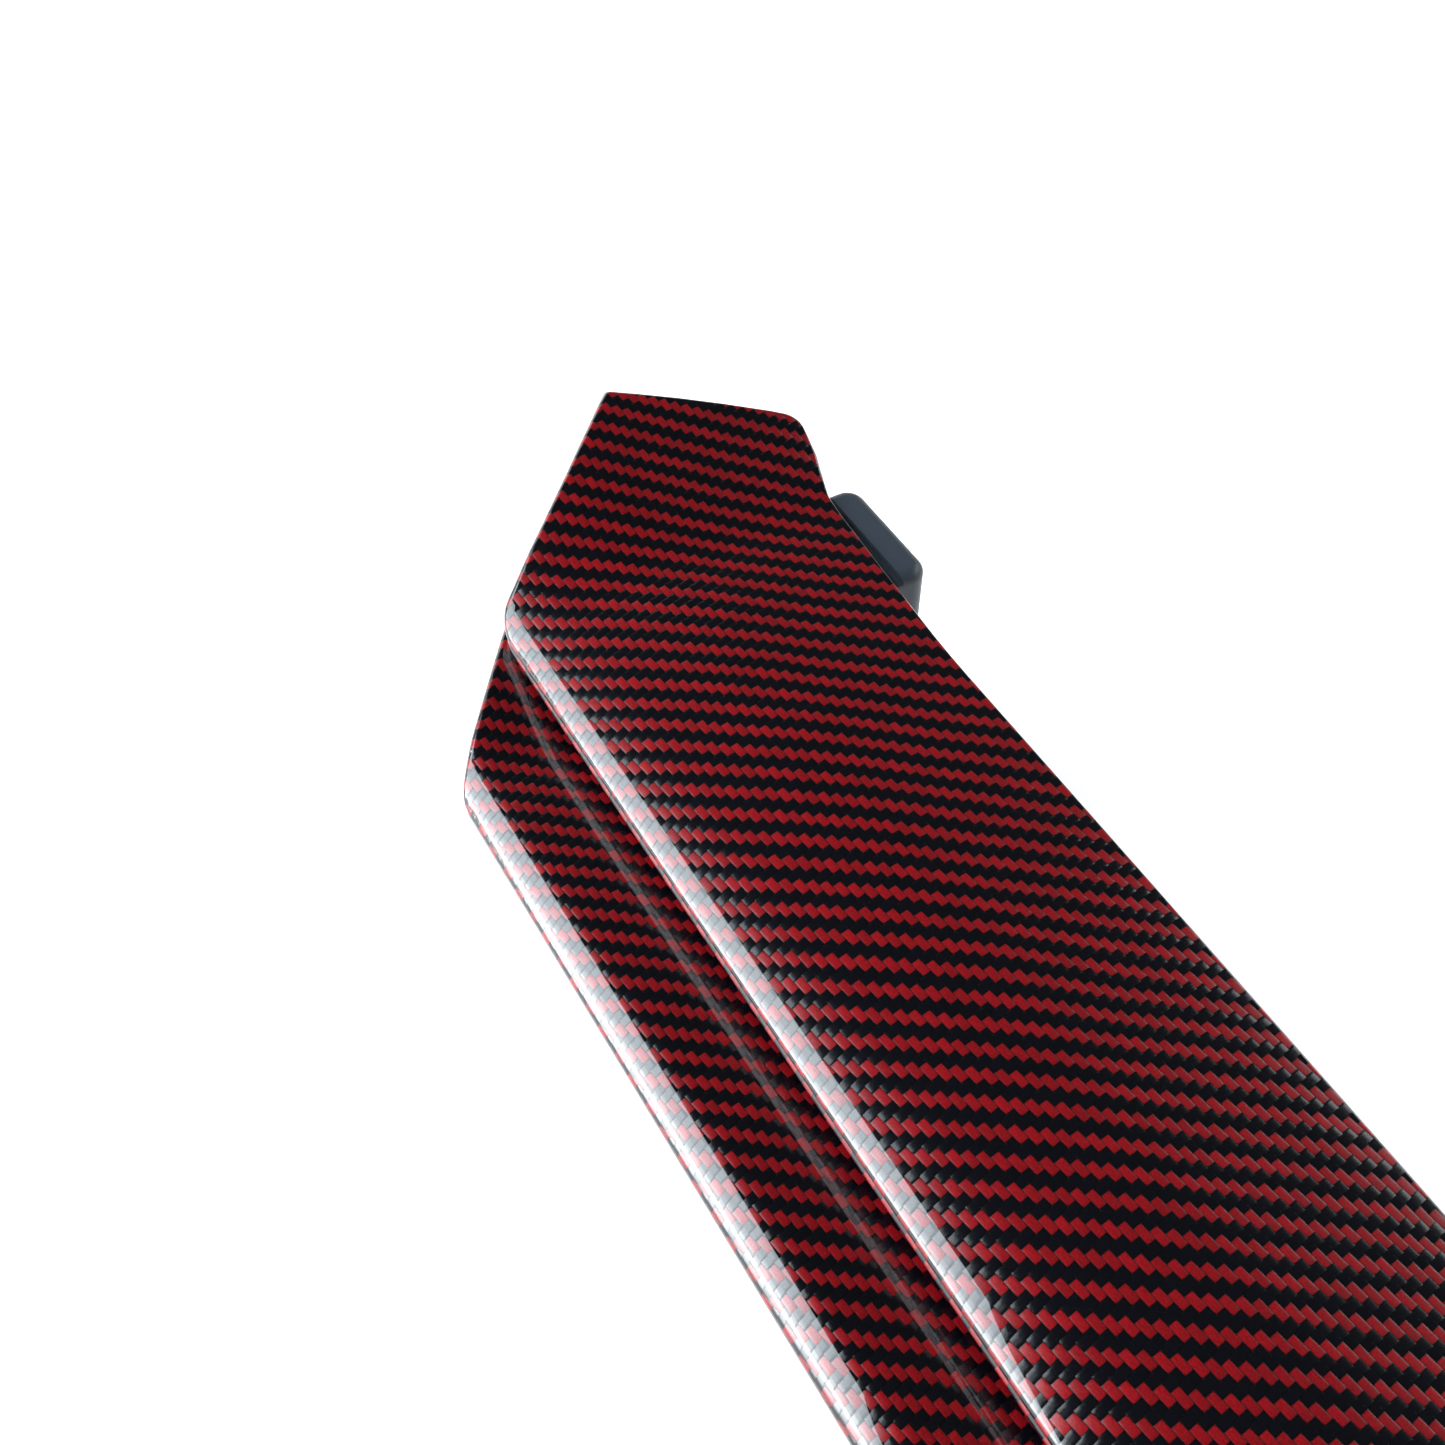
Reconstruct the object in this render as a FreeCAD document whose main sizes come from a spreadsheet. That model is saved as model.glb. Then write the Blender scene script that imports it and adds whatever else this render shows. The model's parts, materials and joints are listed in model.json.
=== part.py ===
"""Double-deck racing rear wing on two risers, with an adjustable angle of attack.

Frame: X runs along the span, Y from the leading to the trailing edge, Z up from the mounting face.
Everything is modelled on the left side (X below zero) and mirrored to the right.
"""
import FreeCAD, Part
import math
import os
from FreeCAD import Placement, Rotation, Vector

# ---------------------------------------------------------------- driving dimensions, millimetres
SIZES = (
    # planform of the upper blade
    ("half_span", 365.0, "centre line to the outermost corner of the tip"),
    ("tip_corner_y", 15.0, "where that corner lies along the chord"),
    ("tip_sweep", 50.0, "degrees, swept edge of the tip from the span direction"),
    ("tip_rake", 62.0, "degrees, rear outer edge of the tip from the span direction"),
    ("tip_rear_y", 58.2, "rearmost edge of the tip"),
    ("tip_flare_out", 34.0, "outermost corner in to where the rear edge starts to step forward"),
    ("tip_step_y", 56.4, "rear edge of the tip where it starts to step forward"),
    ("tip_flare_in", 47.0, "outermost corner in to the foot of that step"),
    ("tip_flare_y", 52.3, "trailing edge at the foot of that step"),
    ("tail_bend_x", 103.0, "outermost corner in to where the straight trailing edge starts"),
    ("upper_tail_y", 48.4, "trailing edge of the upper blade"),
    ("tip_hollow", 1.6, "how far the swept edge of the tip leads inwards"),
    ("tip_bow", 1.5, "how far the rear outer edge of the tip leads outwards"),
    ("upper_front_play", 1.7, "leading edge to the front line of the planform"),
    # outline of the upper blade, seen from the side
    ("upper_crown_y", 0.9, "highest line of the upper blade"),
    ("upper_crown_z", 95.0, "height of that line over the mounting face"),
    ("upper_crown_r", 150.0, "radius over the crown"),
    ("upper_shoulder_r", 60.0, "radius between crown and nose"),
    ("upper_nose_r", 5.6, "radius of the leading edge"),
    ("upper_belly_r", 150.0, "radius under the nose"),
    ("upper_tail_angle", 4.7, "degrees, fall of the flat rear of the top"),
    ("upper_shoulder_angle", 8.0, "degrees, lean where crown meets shoulder"),
    ("upper_nose_angle", 20.0, "degrees, lean where shoulder meets nose"),
    ("upper_belly_angle", 184.0, "degrees, lean where nose meets belly"),
    ("upper_bond_y", 46.7, "where the two skins of the upper blade meet"),
    ("upper_bend_x", 57.0, "outermost corner in to the start of the upturned tip"),
    ("upper_bend_r", 74.0, "radius of that bend"),
    ("upper_tip_angle", 15.6, "degrees, rise of the tip"),
    # planform and outline of the lower blade
    ("lower_corner_x", 74.5, "outermost corner in to the corner of the lower leading edge"),
    ("lower_sweep", 40.8, "degrees, swept edge of the lower tip from the span direction"),
    ("lower_end_x", 39.0, "outermost corner in to the end of the lower blade"),
    ("lower_front_play", 1.3, "leading edge to the front line of the planform"),
    ("lower_tail_y", -4.0, "trailing edge of the lower blade"),
    ("lower_crown_y", -53.05, "highest line of the lower blade"),
    ("lower_crown_z", 76.7, "height of that line over the mounting face"),
    ("lower_crown_r", 205.0, "radius over the crown"),
    ("lower_shoulder_r", 12.9, "radius between crown and nose"),
    ("lower_nose_r", 7.2, "radius of the leading edge"),
    ("lower_belly_r", 150.0, "radius under the nose"),
    ("lower_tail_angle", 4.7, "degrees, fall of the flat rear of the top"),
    ("lower_shoulder_angle", 0.0, "degrees, lean where crown meets shoulder"),
    ("lower_nose_angle", 20.0, "degrees, lean where shoulder meets nose"),
    ("lower_belly_angle", 186.0, "degrees, lean where nose meets belly"),
    ("lower_bond_y", -7.0, "where the two skins of the lower blade meet"),
    ("lower_bend_x", 79.0, "outermost corner in to the start of the lower upturned tip"),
    ("lower_bend_r", 60.0, "radius of that bend"),
    ("lower_tip_angle", 15.6, "degrees, rise of the tip"),
    # laminate, cores and spars
    ("skin", 0.8, "thickness of each moulded skin"),
    ("corner_r", 12.0, "corner of the leading edge seen from above"),
    ("tip_corner_r", 2.0, "sharp outer corner of the tip seen from above"),
    ("flare_r", 6.0, "rear corner of the tip seen from above"),
    ("lower_end_r", 6.0, "front corner of the lower blade's end seen from above"),
    ("flare_bend_r", 11.0, "soft bends where the tip steps back to the trailing edge"),
    ("tail_bend_r", 300.0, "long bend where the trailing edge leaves its straight run"),
    ("tip_hollow_r", 500.0, "radius of the hollow swept edge of the tip"),
    ("tip_bow_r", 250.0, "radius of the bowed rear outer edge of the tip"),
    ("box_spar_end", 8.0, "start of the upturned tip in to the end of the upper spar"),
    ("box_spar_y", -17.0, "middle of the upper spar along the chord"),
    ("box_spar_width", 12.0, "upper spar along the chord"),
    ("box_spar_wall", 1.2, "wall of the upper spar"),
    ("tube_spar_end", 2.0, "start of the lower upturned tip in to the end of its spar"),
    ("tube_spar_drop", 7.4, "crown of the lower blade to the middle of its spar"),
    ("tube_spar_r", 5.0, "outside radius of the lower spar"),
    ("tube_spar_wall", 1.0, "wall of the lower spar"),
    ("bond_gap", 0.1, "adhesive between a spar and what is round it"),
    # brackets that carry the blades
    ("riser_x", 62.0, "outermost corner in to the middle of a riser and its bracket"),
    ("pivot_y", -15.0, "tilt axis along the chord"),
    ("pivot_z", 38.0, "tilt axis over the mounting face"),
    ("web_width", 6.0, "thickness of the bracket's upright web"),
    ("eye_r", 11.0, "eye of the bracket round the pivot"),
    ("eye_corner_r", 8.0, "rounded front of the eye"),
    ("web_corner_r", 4.0, "outer corners of the web"),
    ("web_toe_r", 1.0, "corner of the web below the front flange"),
    ("web_step", 2.0, "trailing edge of the lower blade down to the step of the web"),
    ("flange_overrun", 5.5, "crown of a blade down to the uncut top of its flange"),
    ("front_seat_z", 58.0, "underside of the flange below the lower blade"),
    ("front_flange_y", -49.0, "front of that flange"),
    ("front_flange_end", -9.0, "rear of that flange"),
    ("rear_seat_z", 79.0, "underside of the flange below the upper blade"),
    ("rear_flange_y", 2.5, "front of that flange and of the arm that carries it"),
    ("rear_flange_end", 35.0, "rear of that flange"),
    ("flange_reach", 38.0, "middle of the web to the inboard edge of the flanges"),
    ("screw_reach", 24.0, "middle of the web to the bracket screws"),
    ("front_screw_y", -29.0, "middle of the two front bracket screws"),
    ("rear_screw_y", 17.0, "middle of the two rear bracket screws"),
    ("front_screw_pitch", 20.0, "front bracket screws apart"),
    ("rear_screw_pitch", 16.0, "rear bracket screws apart"),
    ("insert_length", 28.0, "insert block along the span"),
    ("insert_margin", 6.0, "insert block beyond the middle of its screws"),
    ("thread_d", 4.0, "bracket screw thread"),
    ("thread_play", 0.1, "tapped bore over the thread"),
    ("screw_hole_play", 0.4, "clearance hole over the thread"),
    ("front_screw_length", 14.0, "front bracket screw under its head"),
    ("rear_screw_length", 12.0, "rear bracket screw under its head"),
    ("thread_runout", 0.5, "tapped bore beyond the end of the screw"),
    # tilt pivot and lock
    ("tilt_range", 12.0, "degrees, from resting on the pads to fully raised"),
    ("slot_margin", 1.0, "degrees, arc slot beyond each end of the tilt"),
    ("lock_radius", 34.0, "pivot to lock screw"),
    ("lock_angle", 3.0, "degrees, lock screw above the level of the pivot"),
    ("lock_rim", 5.5, "metal round the arc slot"),
    ("lock_d", 5.0, "lock screw"),
    ("lock_play", 0.6, "arc slot over the lock screw"),
    ("pivot_d", 6.0, "pivot bolt"),
    ("bush_play", 0.1, "bush bore over the pivot bolt"),
    ("bush_wall", 1.5, "wall of the pivot bush"),
    ("cheek_play", 0.3, "bracket web to each cheek of the riser"),
    ("bolt_hole_play", 0.2, "cheek bores over their bolts"),
    ("washer_width", 1.2, "washer thickness"),
    ("washer_rim", 3.0, "washer beyond its bolt, radius"),
    ("bolt_end", 1.5, "thread that stands out of a nut"),
    ("nut_play", 0.02, "nut bore over its bolt"),
    # risers
    ("riser_width", 35.0, "rear post of the riser along the span"),
    ("cheek_width", 20.0, "both cheeks and the slot between them along the span"),
    ("post_wall", 4.5, "wall of the rear post, which is cored out from below"),
    ("post_roof", 10.0, "solid top of the rear post above its core"),
    ("riser_rear_y", 61.2, "rear face of the riser"),
    ("riser_front_y", -35.0, "front of the riser at the foot"),
    ("riser_top_z", 88.3, "top of the rear post"),
    ("lip_z", 90.3, "top of the lip behind the trailing edge"),
    ("lip_gap", 1.0, "trailing edge at the foot of the tip's step to the lip"),
    ("post_front_y", 38.0, "front face of the rear post at its top"),
    ("post_foot_y", 37.5, "front face of the rear post where it leaves the cheeks"),
    ("post_step", 7.0, "cheeks up to the front face of the rear post"),
    ("post_bend_r", 6.0, "bend at the foot of that face"),
    ("cheek_r", 13.0, "cheek round the pivot"),
    ("cheek_toe", 2.0, "front end of the cheeks over the foot"),
    ("cheek_toe_r", 8.0, "bend where the cheeks run down to that end"),
    ("cheek_end_y", 32.0, "rear end of the slot for the bracket"),
    ("cheek_floor_z", 14.0, "bottom of the slot for the bracket"),
    ("cheek_floor_r", 4.0, "rounded rear corner of that bottom"),
    ("foot_width", 60.0, "foot along the span"),
    ("foot_front_y", -41.0, "front of the foot"),
    ("foot_rear_y", 62.2, "rear of the foot"),
    ("foot_depth", 8.0, "thickness of the foot"),
    ("foot_corner_r", 8.0, "corners of the foot"),
    ("post_corner_r", 5.0, "upright corners of the rear post"),
    ("post_top_r", 3.0, "rounded top edge of the rear post"),
    ("gasket", 2.0, "thickness of the base gasket"),
    ("mount_pitch_x", 45.0, "mounting holes apart along the span"),
    ("mount_pitch_y", 82.0, "mounting holes apart along the chord"),
    ("mount_y", 9.0, "middle of the mounting holes"),
    ("mount_d", 5.4, "bore of a mounting sleeve"),
    ("sleeve_wall", 1.3, "wall of a mounting sleeve"),
    ("pad_front_y", 40.5, "front of the rest pad"),
    ("pad_end_y", 46.5, "rear of the rest pad"),
    ("pad_width", 22.0, "rest pad along the span"),
    ("pad_recess", 2.0, "depth of the pocket that holds the rest pad"),
    ("pad_gap", 0.05, "rest pad to the resting blade"),
)

doc = FreeCAD.newDocument("double_deck_rear_wing")
sheet = doc.addObject("Spreadsheet::Sheet", "Sizes")
for row, (alias, value, meaning) in enumerate(SIZES, start=1):
    sheet.set(f"A{row}", meaning)
    sheet.set(f"B{row}", str(value))
    sheet.setAlias(f"B{row}", alias)
doc.recompute()

UP = Vector(0, 0, 1)
SPAN = Vector(1, 0, 0)
NODES = []


def size(alias):
    """One driving dimension."""
    return float(sheet.get(alias))


def inboard(alias):
    """Centre line to a place that is measured in from the outermost corner of the tip."""
    return size("half_span") - size(alias)


def keep(item, label):
    """Name a finished sub-part; its label is its node."""
    item.Label = label
    NODES.append(item)
    return item


# ---------------------------------------------------------------- outlines of the blades
def lean(angle):
    """Outward normal of a surface that leans by this angle, in (chord, height)."""
    turn = math.radians(angle)
    return Vector(-math.sin(turn), math.cos(turn), 0)


class Section:
    """Outline of one blade in the (chord, height) plane, at any depth below its surface."""

    def __init__(self, blade, end_y):
        def cell(name):
            return size(f"{blade}_{name}")

        crown = Vector(cell("crown_y"), cell("crown_z"), 0)
        self.radii = [cell(f"{arc}_r") for arc in ("crown", "shoulder", "nose", "belly")]
        self.leans = [-cell("tail_angle")]
        self.leans += [cell(f"{arc}_angle") for arc in ("shoulder", "nose", "belly")]
        self.centres = [crown - lean(0) * self.radii[0]]
        for k in (1, 2, 3):
            step = lean(self.leans[k]) * (self.radii[k - 1] - self.radii[k])
            self.centres.append(self.centres[-1] + step)
        self.end_y = end_y
        self.bond_y = cell("bond_y")
        tail = lean(self.leans[0])
        to_bond = self.tail_point(self.bond_y, 0) - tail * 2 * size("skin") - self.centres[3]
        bearing = math.degrees(math.atan2(to_bond.y, to_bond.x)) % 360
        self.leans.append(bearing - 90 - math.degrees(math.acos(self.radii[3] / to_bond.Length)))

    def point(self, arc, angle, depth):
        return self.centres[arc] + lean(angle) * (self.radii[arc] - depth)

    def tail_point(self, y, depth):
        """Point at this chord position on the flat rear of the top."""
        start = self.point(0, self.leans[0], depth)
        fall = math.tan(math.radians(self.leans[0]))
        return Vector(y, start.y + (y - start.x) * fall, 0)

    def bond_point(self, depth):
        """Where the flat underside at this depth reaches the doubled trailing edge."""
        start = self.point(3, self.leans[4], depth)
        rise = math.tan(math.radians(self.leans[4] - 180))
        edge = self.tail_point(start.x, 2 * size("skin") - depth)
        fall = math.tan(math.radians(self.leans[0]))
        y = start.x + (edge.y - start.y) / (rise - fall)
        return Vector(y, start.y + (y - start.x) * rise, 0)

    def arc(self, arc, first, last, depth):
        ends = [self.point(arc, angle, depth) for angle in (first, (first + last) / 2, last)]
        return Part.Arc(*ends)

    def top(self, depth, start):
        """From a point on the flat rear forward over the crown to the seam under the nose."""
        edges = [Part.LineSegment(start, self.point(0, self.leans[0], depth))]
        for k in range(3):
            if self.leans[k + 1] != self.leans[k]:
                edges.append(self.arc(k, self.leans[k], self.leans[k + 1], depth))
        return edges

    def bottom(self, depth):
        """From the seam under the nose back to the doubled trailing edge."""
        flat = Part.LineSegment(self.point(3, self.leans[4], depth), self.bond_point(depth))
        return [self.arc(3, self.leans[3], self.leans[4], depth), flat]

    def envelope(self):
        """The whole blade."""
        end = self.tail_point(self.end_y, 0)
        under = self.tail_point(self.end_y, 2 * size("skin"))
        closing = [Part.LineSegment(self.bond_point(0), under), Part.LineSegment(under, end)]
        return self.top(0, end) + self.bottom(0) + closing

    def top_skin(self):
        """Skin over the top and round the nose."""
        depth = size("skin")
        end = self.tail_point(self.end_y, 0)
        inner = self.tail_point(self.end_y, depth)
        seam = [self.point(2, self.leans[3], level) for level in (0, depth)]
        ends = [Part.LineSegment(*seam), Part.LineSegment(inner, end)]
        return self.top(0, end) + self.top(depth, inner) + ends

    def bottom_skin(self):
        """Skin under the blade, doubled with the top one at the trailing edge."""
        depth = size("skin")
        edges = self.bottom(0) + self.bottom(depth)
        outer = self.tail_point(self.end_y, 2 * depth)
        inner = self.tail_point(self.end_y, depth)
        seam = [self.point(3, self.leans[3], level) for level in (0, depth)]
        edges.append(Part.LineSegment(*seam))
        edges.append(Part.LineSegment(self.bond_point(0), outer))
        edges.append(Part.LineSegment(outer, inner))
        edges.append(Part.LineSegment(inner, self.bond_point(depth)))
        return edges

    def core(self):
        """Everything inside the skins."""
        depth = size("skin")
        return self.top(depth, self.bond_point(depth)) + self.bottom(depth)

    def underside(self, y, depth=0.0):
        """Height of the flat underside, or of the same face inside the skin."""
        start = self.point(3, self.leans[4], depth)
        return start.y + (y - start.x) * math.tan(math.radians(self.leans[4] - 180))

    def height(self, y, depth=0.0):
        """Height of the top at a chord position between nose and flat rear."""
        for k in range(3):
            first = self.point(k, self.leans[k], depth).x
            last = self.point(k, self.leans[k + 1], depth).x
            if last <= y <= first:
                radius = self.radii[k] - depth
                return self.centres[k].y + math.sqrt(radius**2 - (y - self.centres[k].x) ** 2)
        return self.tail_point(y, depth).y

    def nose_y(self):
        """Foremost line of the blade."""
        return self.centres[2].x - self.radii[2]


# sections run past the edges that the planform then trims
TRIM = 3.0
upper = Section("upper", size("tip_rear_y") + TRIM)
lower = Section("lower", size("lower_tail_y") + TRIM)


def rounded(corners):
    """Closed outline through (x, y, radius) corners, as lines joined by tangent arcs."""
    edges = []
    starts = []
    ends = []
    count = len(corners)
    for k, (x, y, radius) in enumerate(corners):
        here = Vector(x, y, 0)
        back = Vector(*corners[k - 1][:2], 0) - here
        ahead = Vector(*corners[(k + 1) % count][:2], 0) - here
        back.normalize()
        ahead.normalize()
        half = back.getAngle(ahead) / 2
        reach = radius / math.tan(half)
        starts.append(here + back * reach)
        ends.append(here + ahead * reach)
        if radius > 0:
            inward = (back + ahead).normalize()
            middle = here + inward * (radius / math.sin(half) - radius)
            edges.append(Part.Arc(starts[-1], middle, ends[-1]))
    for k in range(count):
        edges.append(Part.LineSegment(ends[k], starts[(k + 1) % count]))
    return edges


def upper_planform():
    """Left half of the upper blade seen from above."""
    sweep = math.radians(size("tip_sweep"))
    rake = math.radians(size("tip_rake"))
    front = upper.nose_y() - size("upper_front_play")
    tip_x = -size("half_span")
    tip_y = size("tip_corner_y")
    rear = size("tip_rear_y")
    # the rounded tip corner lies a little inside the crossing of its two edges
    inset = math.cos((rake - sweep) / 2) / math.sin((rake + sweep) / 2) - 1
    corner_x = tip_x - size("tip_corner_r") * inset
    front_x = corner_x + (tip_y - front) / math.tan(sweep)
    hollow = Vector(math.sin(sweep), math.cos(sweep), 0) * size("tip_hollow")
    dent = Vector((corner_x + front_x) / 2, (tip_y + front) / 2, 0) + hollow
    rear_x = corner_x + (rear - tip_y) / math.tan(rake)
    swell = Vector(-math.sin(rake), math.cos(rake), 0) * size("tip_bow")
    bow = Vector((corner_x + rear_x) / 2, (tip_y + rear) / 2, 0) + swell
    return (
        (0.0, front, 0.0),
        (front_x, front, size("corner_r")),
        (dent.x, dent.y, size("tip_hollow_r")),
        (corner_x, tip_y, size("tip_corner_r")),
        (bow.x, bow.y, size("tip_bow_r")),
        (rear_x, rear, size("flare_r")),
        (-inboard("tip_flare_out"), size("tip_step_y"), size("flare_bend_r")),
        (-inboard("tip_flare_in"), size("tip_flare_y"), size("flare_bend_r")),
        (-inboard("tail_bend_x"), size("upper_tail_y"), size("tail_bend_r")),
        (0.0, size("upper_tail_y"), 0.0),
    )


def lower_planform():
    """Left half of the lower blade seen from above."""
    sweep = math.radians(size("lower_sweep"))
    front = lower.nose_y() - size("lower_front_play")
    end_x = inboard("lower_end_x")
    end_y = front + (end_x - inboard("lower_corner_x")) * math.tan(sweep)
    return (
        (0.0, front, 0.0),
        (-inboard("lower_corner_x"), front, size("corner_r")),
        (-end_x, end_y, size("lower_end_r")),
        (-end_x, size("lower_tail_y"), 0.0),
        (0.0, size("lower_tail_y"), 0.0),
    )


# ---------------------------------------------------------------- tools for blade pieces
SIDE_ON = Rotation(Vector(0, 1, 0), Vector(0, 0, 1), Vector(1, 0, 0), "XYZ")
FACE_ON = Rotation(Vector(1, 0, 0), Vector(0, 0, 1), Vector(0, -1, 0), "XYZ")
ABOVE = 200.0


def drawing(name, edges, rotation, base=Vector()):
    """Free sketch of these edges."""
    item = doc.addObject("Sketcher::SketchObject", name)
    item.Placement = Placement(base, rotation)
    item.addGeometry(edges, False)
    return item


def combine(kind, name, base, tool):
    item = doc.addObject(kind, name)
    item.Base = base
    item.Tool = tool
    return item


def fuse(name, shapes):
    item = doc.addObject("Part::MultiFuse", name)
    item.Shapes = shapes
    item.Refine = True
    return item


def group(name, links):
    item = doc.addObject("Part::Compound", name)
    item.Links = links
    return item


def mirrored(name, source):
    item = doc.addObject("Part::Mirroring", name)
    item.Source = source
    item.Normal = SPAN
    return item


def box(name, x, y, z):
    """Block between pairs of limits."""
    item = doc.addObject("Part::Box", name)
    item.Length, item.Width, item.Height = (high - low for low, high in (x, y, z))
    item.Placement.Base = Vector(x[0], y[0], z[0])
    return item


def rod(name, cell, length, base, axis=SPAN, extra=0.0):
    """Cylinder whose diameter is one cell plus an allowance."""
    item = doc.addObject("Part::Cylinder", name)
    item.setExpression("Radius", f"(Sizes.{cell} + {extra}) / 2")
    item.Height = length
    item.Placement = Placement(base, Rotation(UP, axis))
    return item


def spine(blade):
    """Path of one blade from the centre line out to the left tip."""
    start = Vector(0, size(f"{blade}_crown_z"), 0)
    bend_x = -inboard(f"{blade}_bend_x")
    radius = size(f"{blade}_bend_r")
    rise = math.radians(size(f"{blade}_tip_angle"))
    centre = Vector(bend_x, start.y + radius, 0)
    arc = [centre + Vector(-math.sin(a), -math.cos(a), 0) * radius for a in (0, rise / 2, rise)]
    run = size("half_span") + TRIM + bend_x
    end = arc[2] + Vector(-math.cos(rise), math.sin(rise), 0) * run
    edges = [Part.LineSegment(start, arc[0]), Part.Arc(*arc), Part.LineSegment(arc[2], end)]
    return drawing(f"{blade}_spine", edges, FACE_ON)


def plan_block(blade, corners):
    """Upright block on the planform of one blade."""
    item = doc.addObject("Part::Extrusion", f"{blade}_plan_block")
    item.Base = drawing(f"{blade}_planform", rounded(corners), Rotation())
    item.DirMode = "Custom"
    item.Dir = UP
    item.LengthFwd = ABOVE
    item.Solid = True
    return item


SPINES = {blade: spine(blade) for blade in ("upper", "lower")}
BLOCKS = {
    "upper": plan_block("upper", upper_planform()),
    "lower": plan_block("lower", lower_planform()),
}


def swept(name, blade, edges):
    """Left half of a blade piece with this section, trimmed to the planform."""
    item = doc.addObject("Part::Sweep", f"{name}_sweep")
    item.Sections = [drawing(f"{name}_section", edges, SIDE_ON)]
    item.Spine = (SPINES[blade], ["Edge1", "Edge2", "Edge3"])
    item.Solid = True
    return common(name, item, BLOCKS[blade])


def common(name, first, second):
    item = doc.addObject("Part::MultiCommon", name)
    item.Shapes = [first, second]
    return item


def cut(name, base, *tools):
    """Base without the tools."""
    tool = tools[0] if len(tools) == 1 else group(f"{name}_tools", list(tools))
    return combine("Part::Cut", name, base, tool)


def whole(label, half):
    """Both halves of a blade piece as one."""
    return keep(fuse(f"{label}_whole", [half, mirrored(f"{label}_right_half", half)]), label)


def pair(label, left):
    """A piece on the left and its mirror image on the right."""
    keep(left, f"{label}_left")
    keep(mirrored(f"{label}_mirror", left), f"{label}_right")


# ---------------------------------------------------------------- blades
def screw_places():
    """Bracket screws of the left side: seat, length and place of each."""
    x = -inboard("riser_x") + size("screw_reach")
    places = {}
    for row in ("front", "rear"):
        middle = size(f"{row}_screw_y")
        half = size(f"{row}_screw_pitch") / 2
        seat = size(f"{row}_seat_z")
        places[row] = [Vector(x, y, seat) for y in (middle - half, middle + half)]
    return places


SCREWS = screw_places()


def screw_bores(name, row, cell, length):
    """Bores on the axes of one row of bracket screws."""
    allowance = size(cell)
    bores = []
    for k, place in enumerate(SCREWS[row], start=1):
        bores.append(rod(f"{name}_{k}", "thread_d", length, place, UP, allowance))
    return bores


def insert_limits(row):
    """Limits of an insert block along span and chord."""
    first, last = SCREWS[row]
    half = size("insert_length") / 2
    margin = size("insert_margin")
    return (first.x - half, first.x + half), (first.y - margin, last.y + margin)


def insert_pair(blade, row, core):
    """Tapped aluminium blocks between the skins over the bracket screws."""
    x, y = insert_limits(row)
    block = common(f"{blade}_insert", core, box(f"{blade}_insert_block", x, y, (0.0, ABOVE)))
    depth = size(f"{row}_screw_length") + size("thread_runout")
    bores = screw_bores(f"{blade}_insert_bore", row, "thread_play", depth)
    pair(f"{blade}_insert_block", cut(f"{blade}_tapped_insert", block, *bores))


def foam(name, core, x, y, *holes):
    """Part of a core between limits, less what is embedded in it."""
    piece = common(name, core, box(f"{name}_limits", x, y, (0.0, ABOVE)))
    return cut(f"{name}_bored", piece, *holes) if holes else piece


def skins(blade, section, row, cutters):
    """Top and bottom skin of one blade; the bottom one has the bracket screw holes."""
    top = swept(f"{blade}_top", blade, section.top_skin())
    bottom = swept(f"{blade}_bottom", blade, section.bottom_skin())
    holes = screw_bores(f"{blade}_skin_hole", row, "screw_hole_play", size(f"{row}_screw_length"))
    if cutters:
        top = cut(f"{blade}_top_trimmed", top, *cutters)
    bottom = cut(f"{blade}_bottom_drilled", bottom, *cutters, *holes)
    whole(f"{blade}_blade_top_skin", top)
    whole(f"{blade}_blade_bottom_skin", bottom)


def upper_blade():
    """Skins, box spar, foam cores, insert blocks and solid tips of the upper blade."""
    skins("upper", upper, "rear", [])
    core = swept("upper_core", "upper", upper.core())
    front = size("box_spar_y") - size("box_spar_width") / 2
    rear = front + size("box_spar_width")
    bend = -inboard("upper_bend_x")
    half = -bend - size("box_spar_end")
    beyond = 2 * size("half_span")
    x, y = insert_limits("rear")
    block = box("upper_insert_pocket", x, y, (0.0, ABOVE))
    whole("upper_blade_front_foam", foam("upper_front", core, (bend, 0.0), (-beyond, front)))
    whole("upper_blade_rear_foam", foam("upper_rear", core, (bend, 0.0), (rear, beyond), block))
    ends = foam("upper_end", core, (bend, -half), (front, rear))
    tip = foam("upper_tip", core, (-beyond, bend), (-beyond, beyond))
    pair("upper_tip_filler", fuse("upper_tip_block", [tip, ends]))
    insert_pair("upper", "rear", core)

    # the spar fills the core from skin to skin at its tightest corners
    play = size("bond_gap")
    skin = size("skin")
    top = min(upper.height(y, skin) for y in (front, rear)) - play
    low = max(upper.underside(y, skin) for y in (front, rear)) + play
    wall = size("box_spar_wall")
    outer = box("box_spar_outer", (-half, half), (front + play, rear - play), (low, top))
    sides = (front + play + wall, rear - play - wall)
    inner = box("box_spar_inner", (-half, half), sides, (low + wall, top - wall))
    keep(cut("box_spar", outer, inner), "upper_blade_box_spar")


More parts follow.
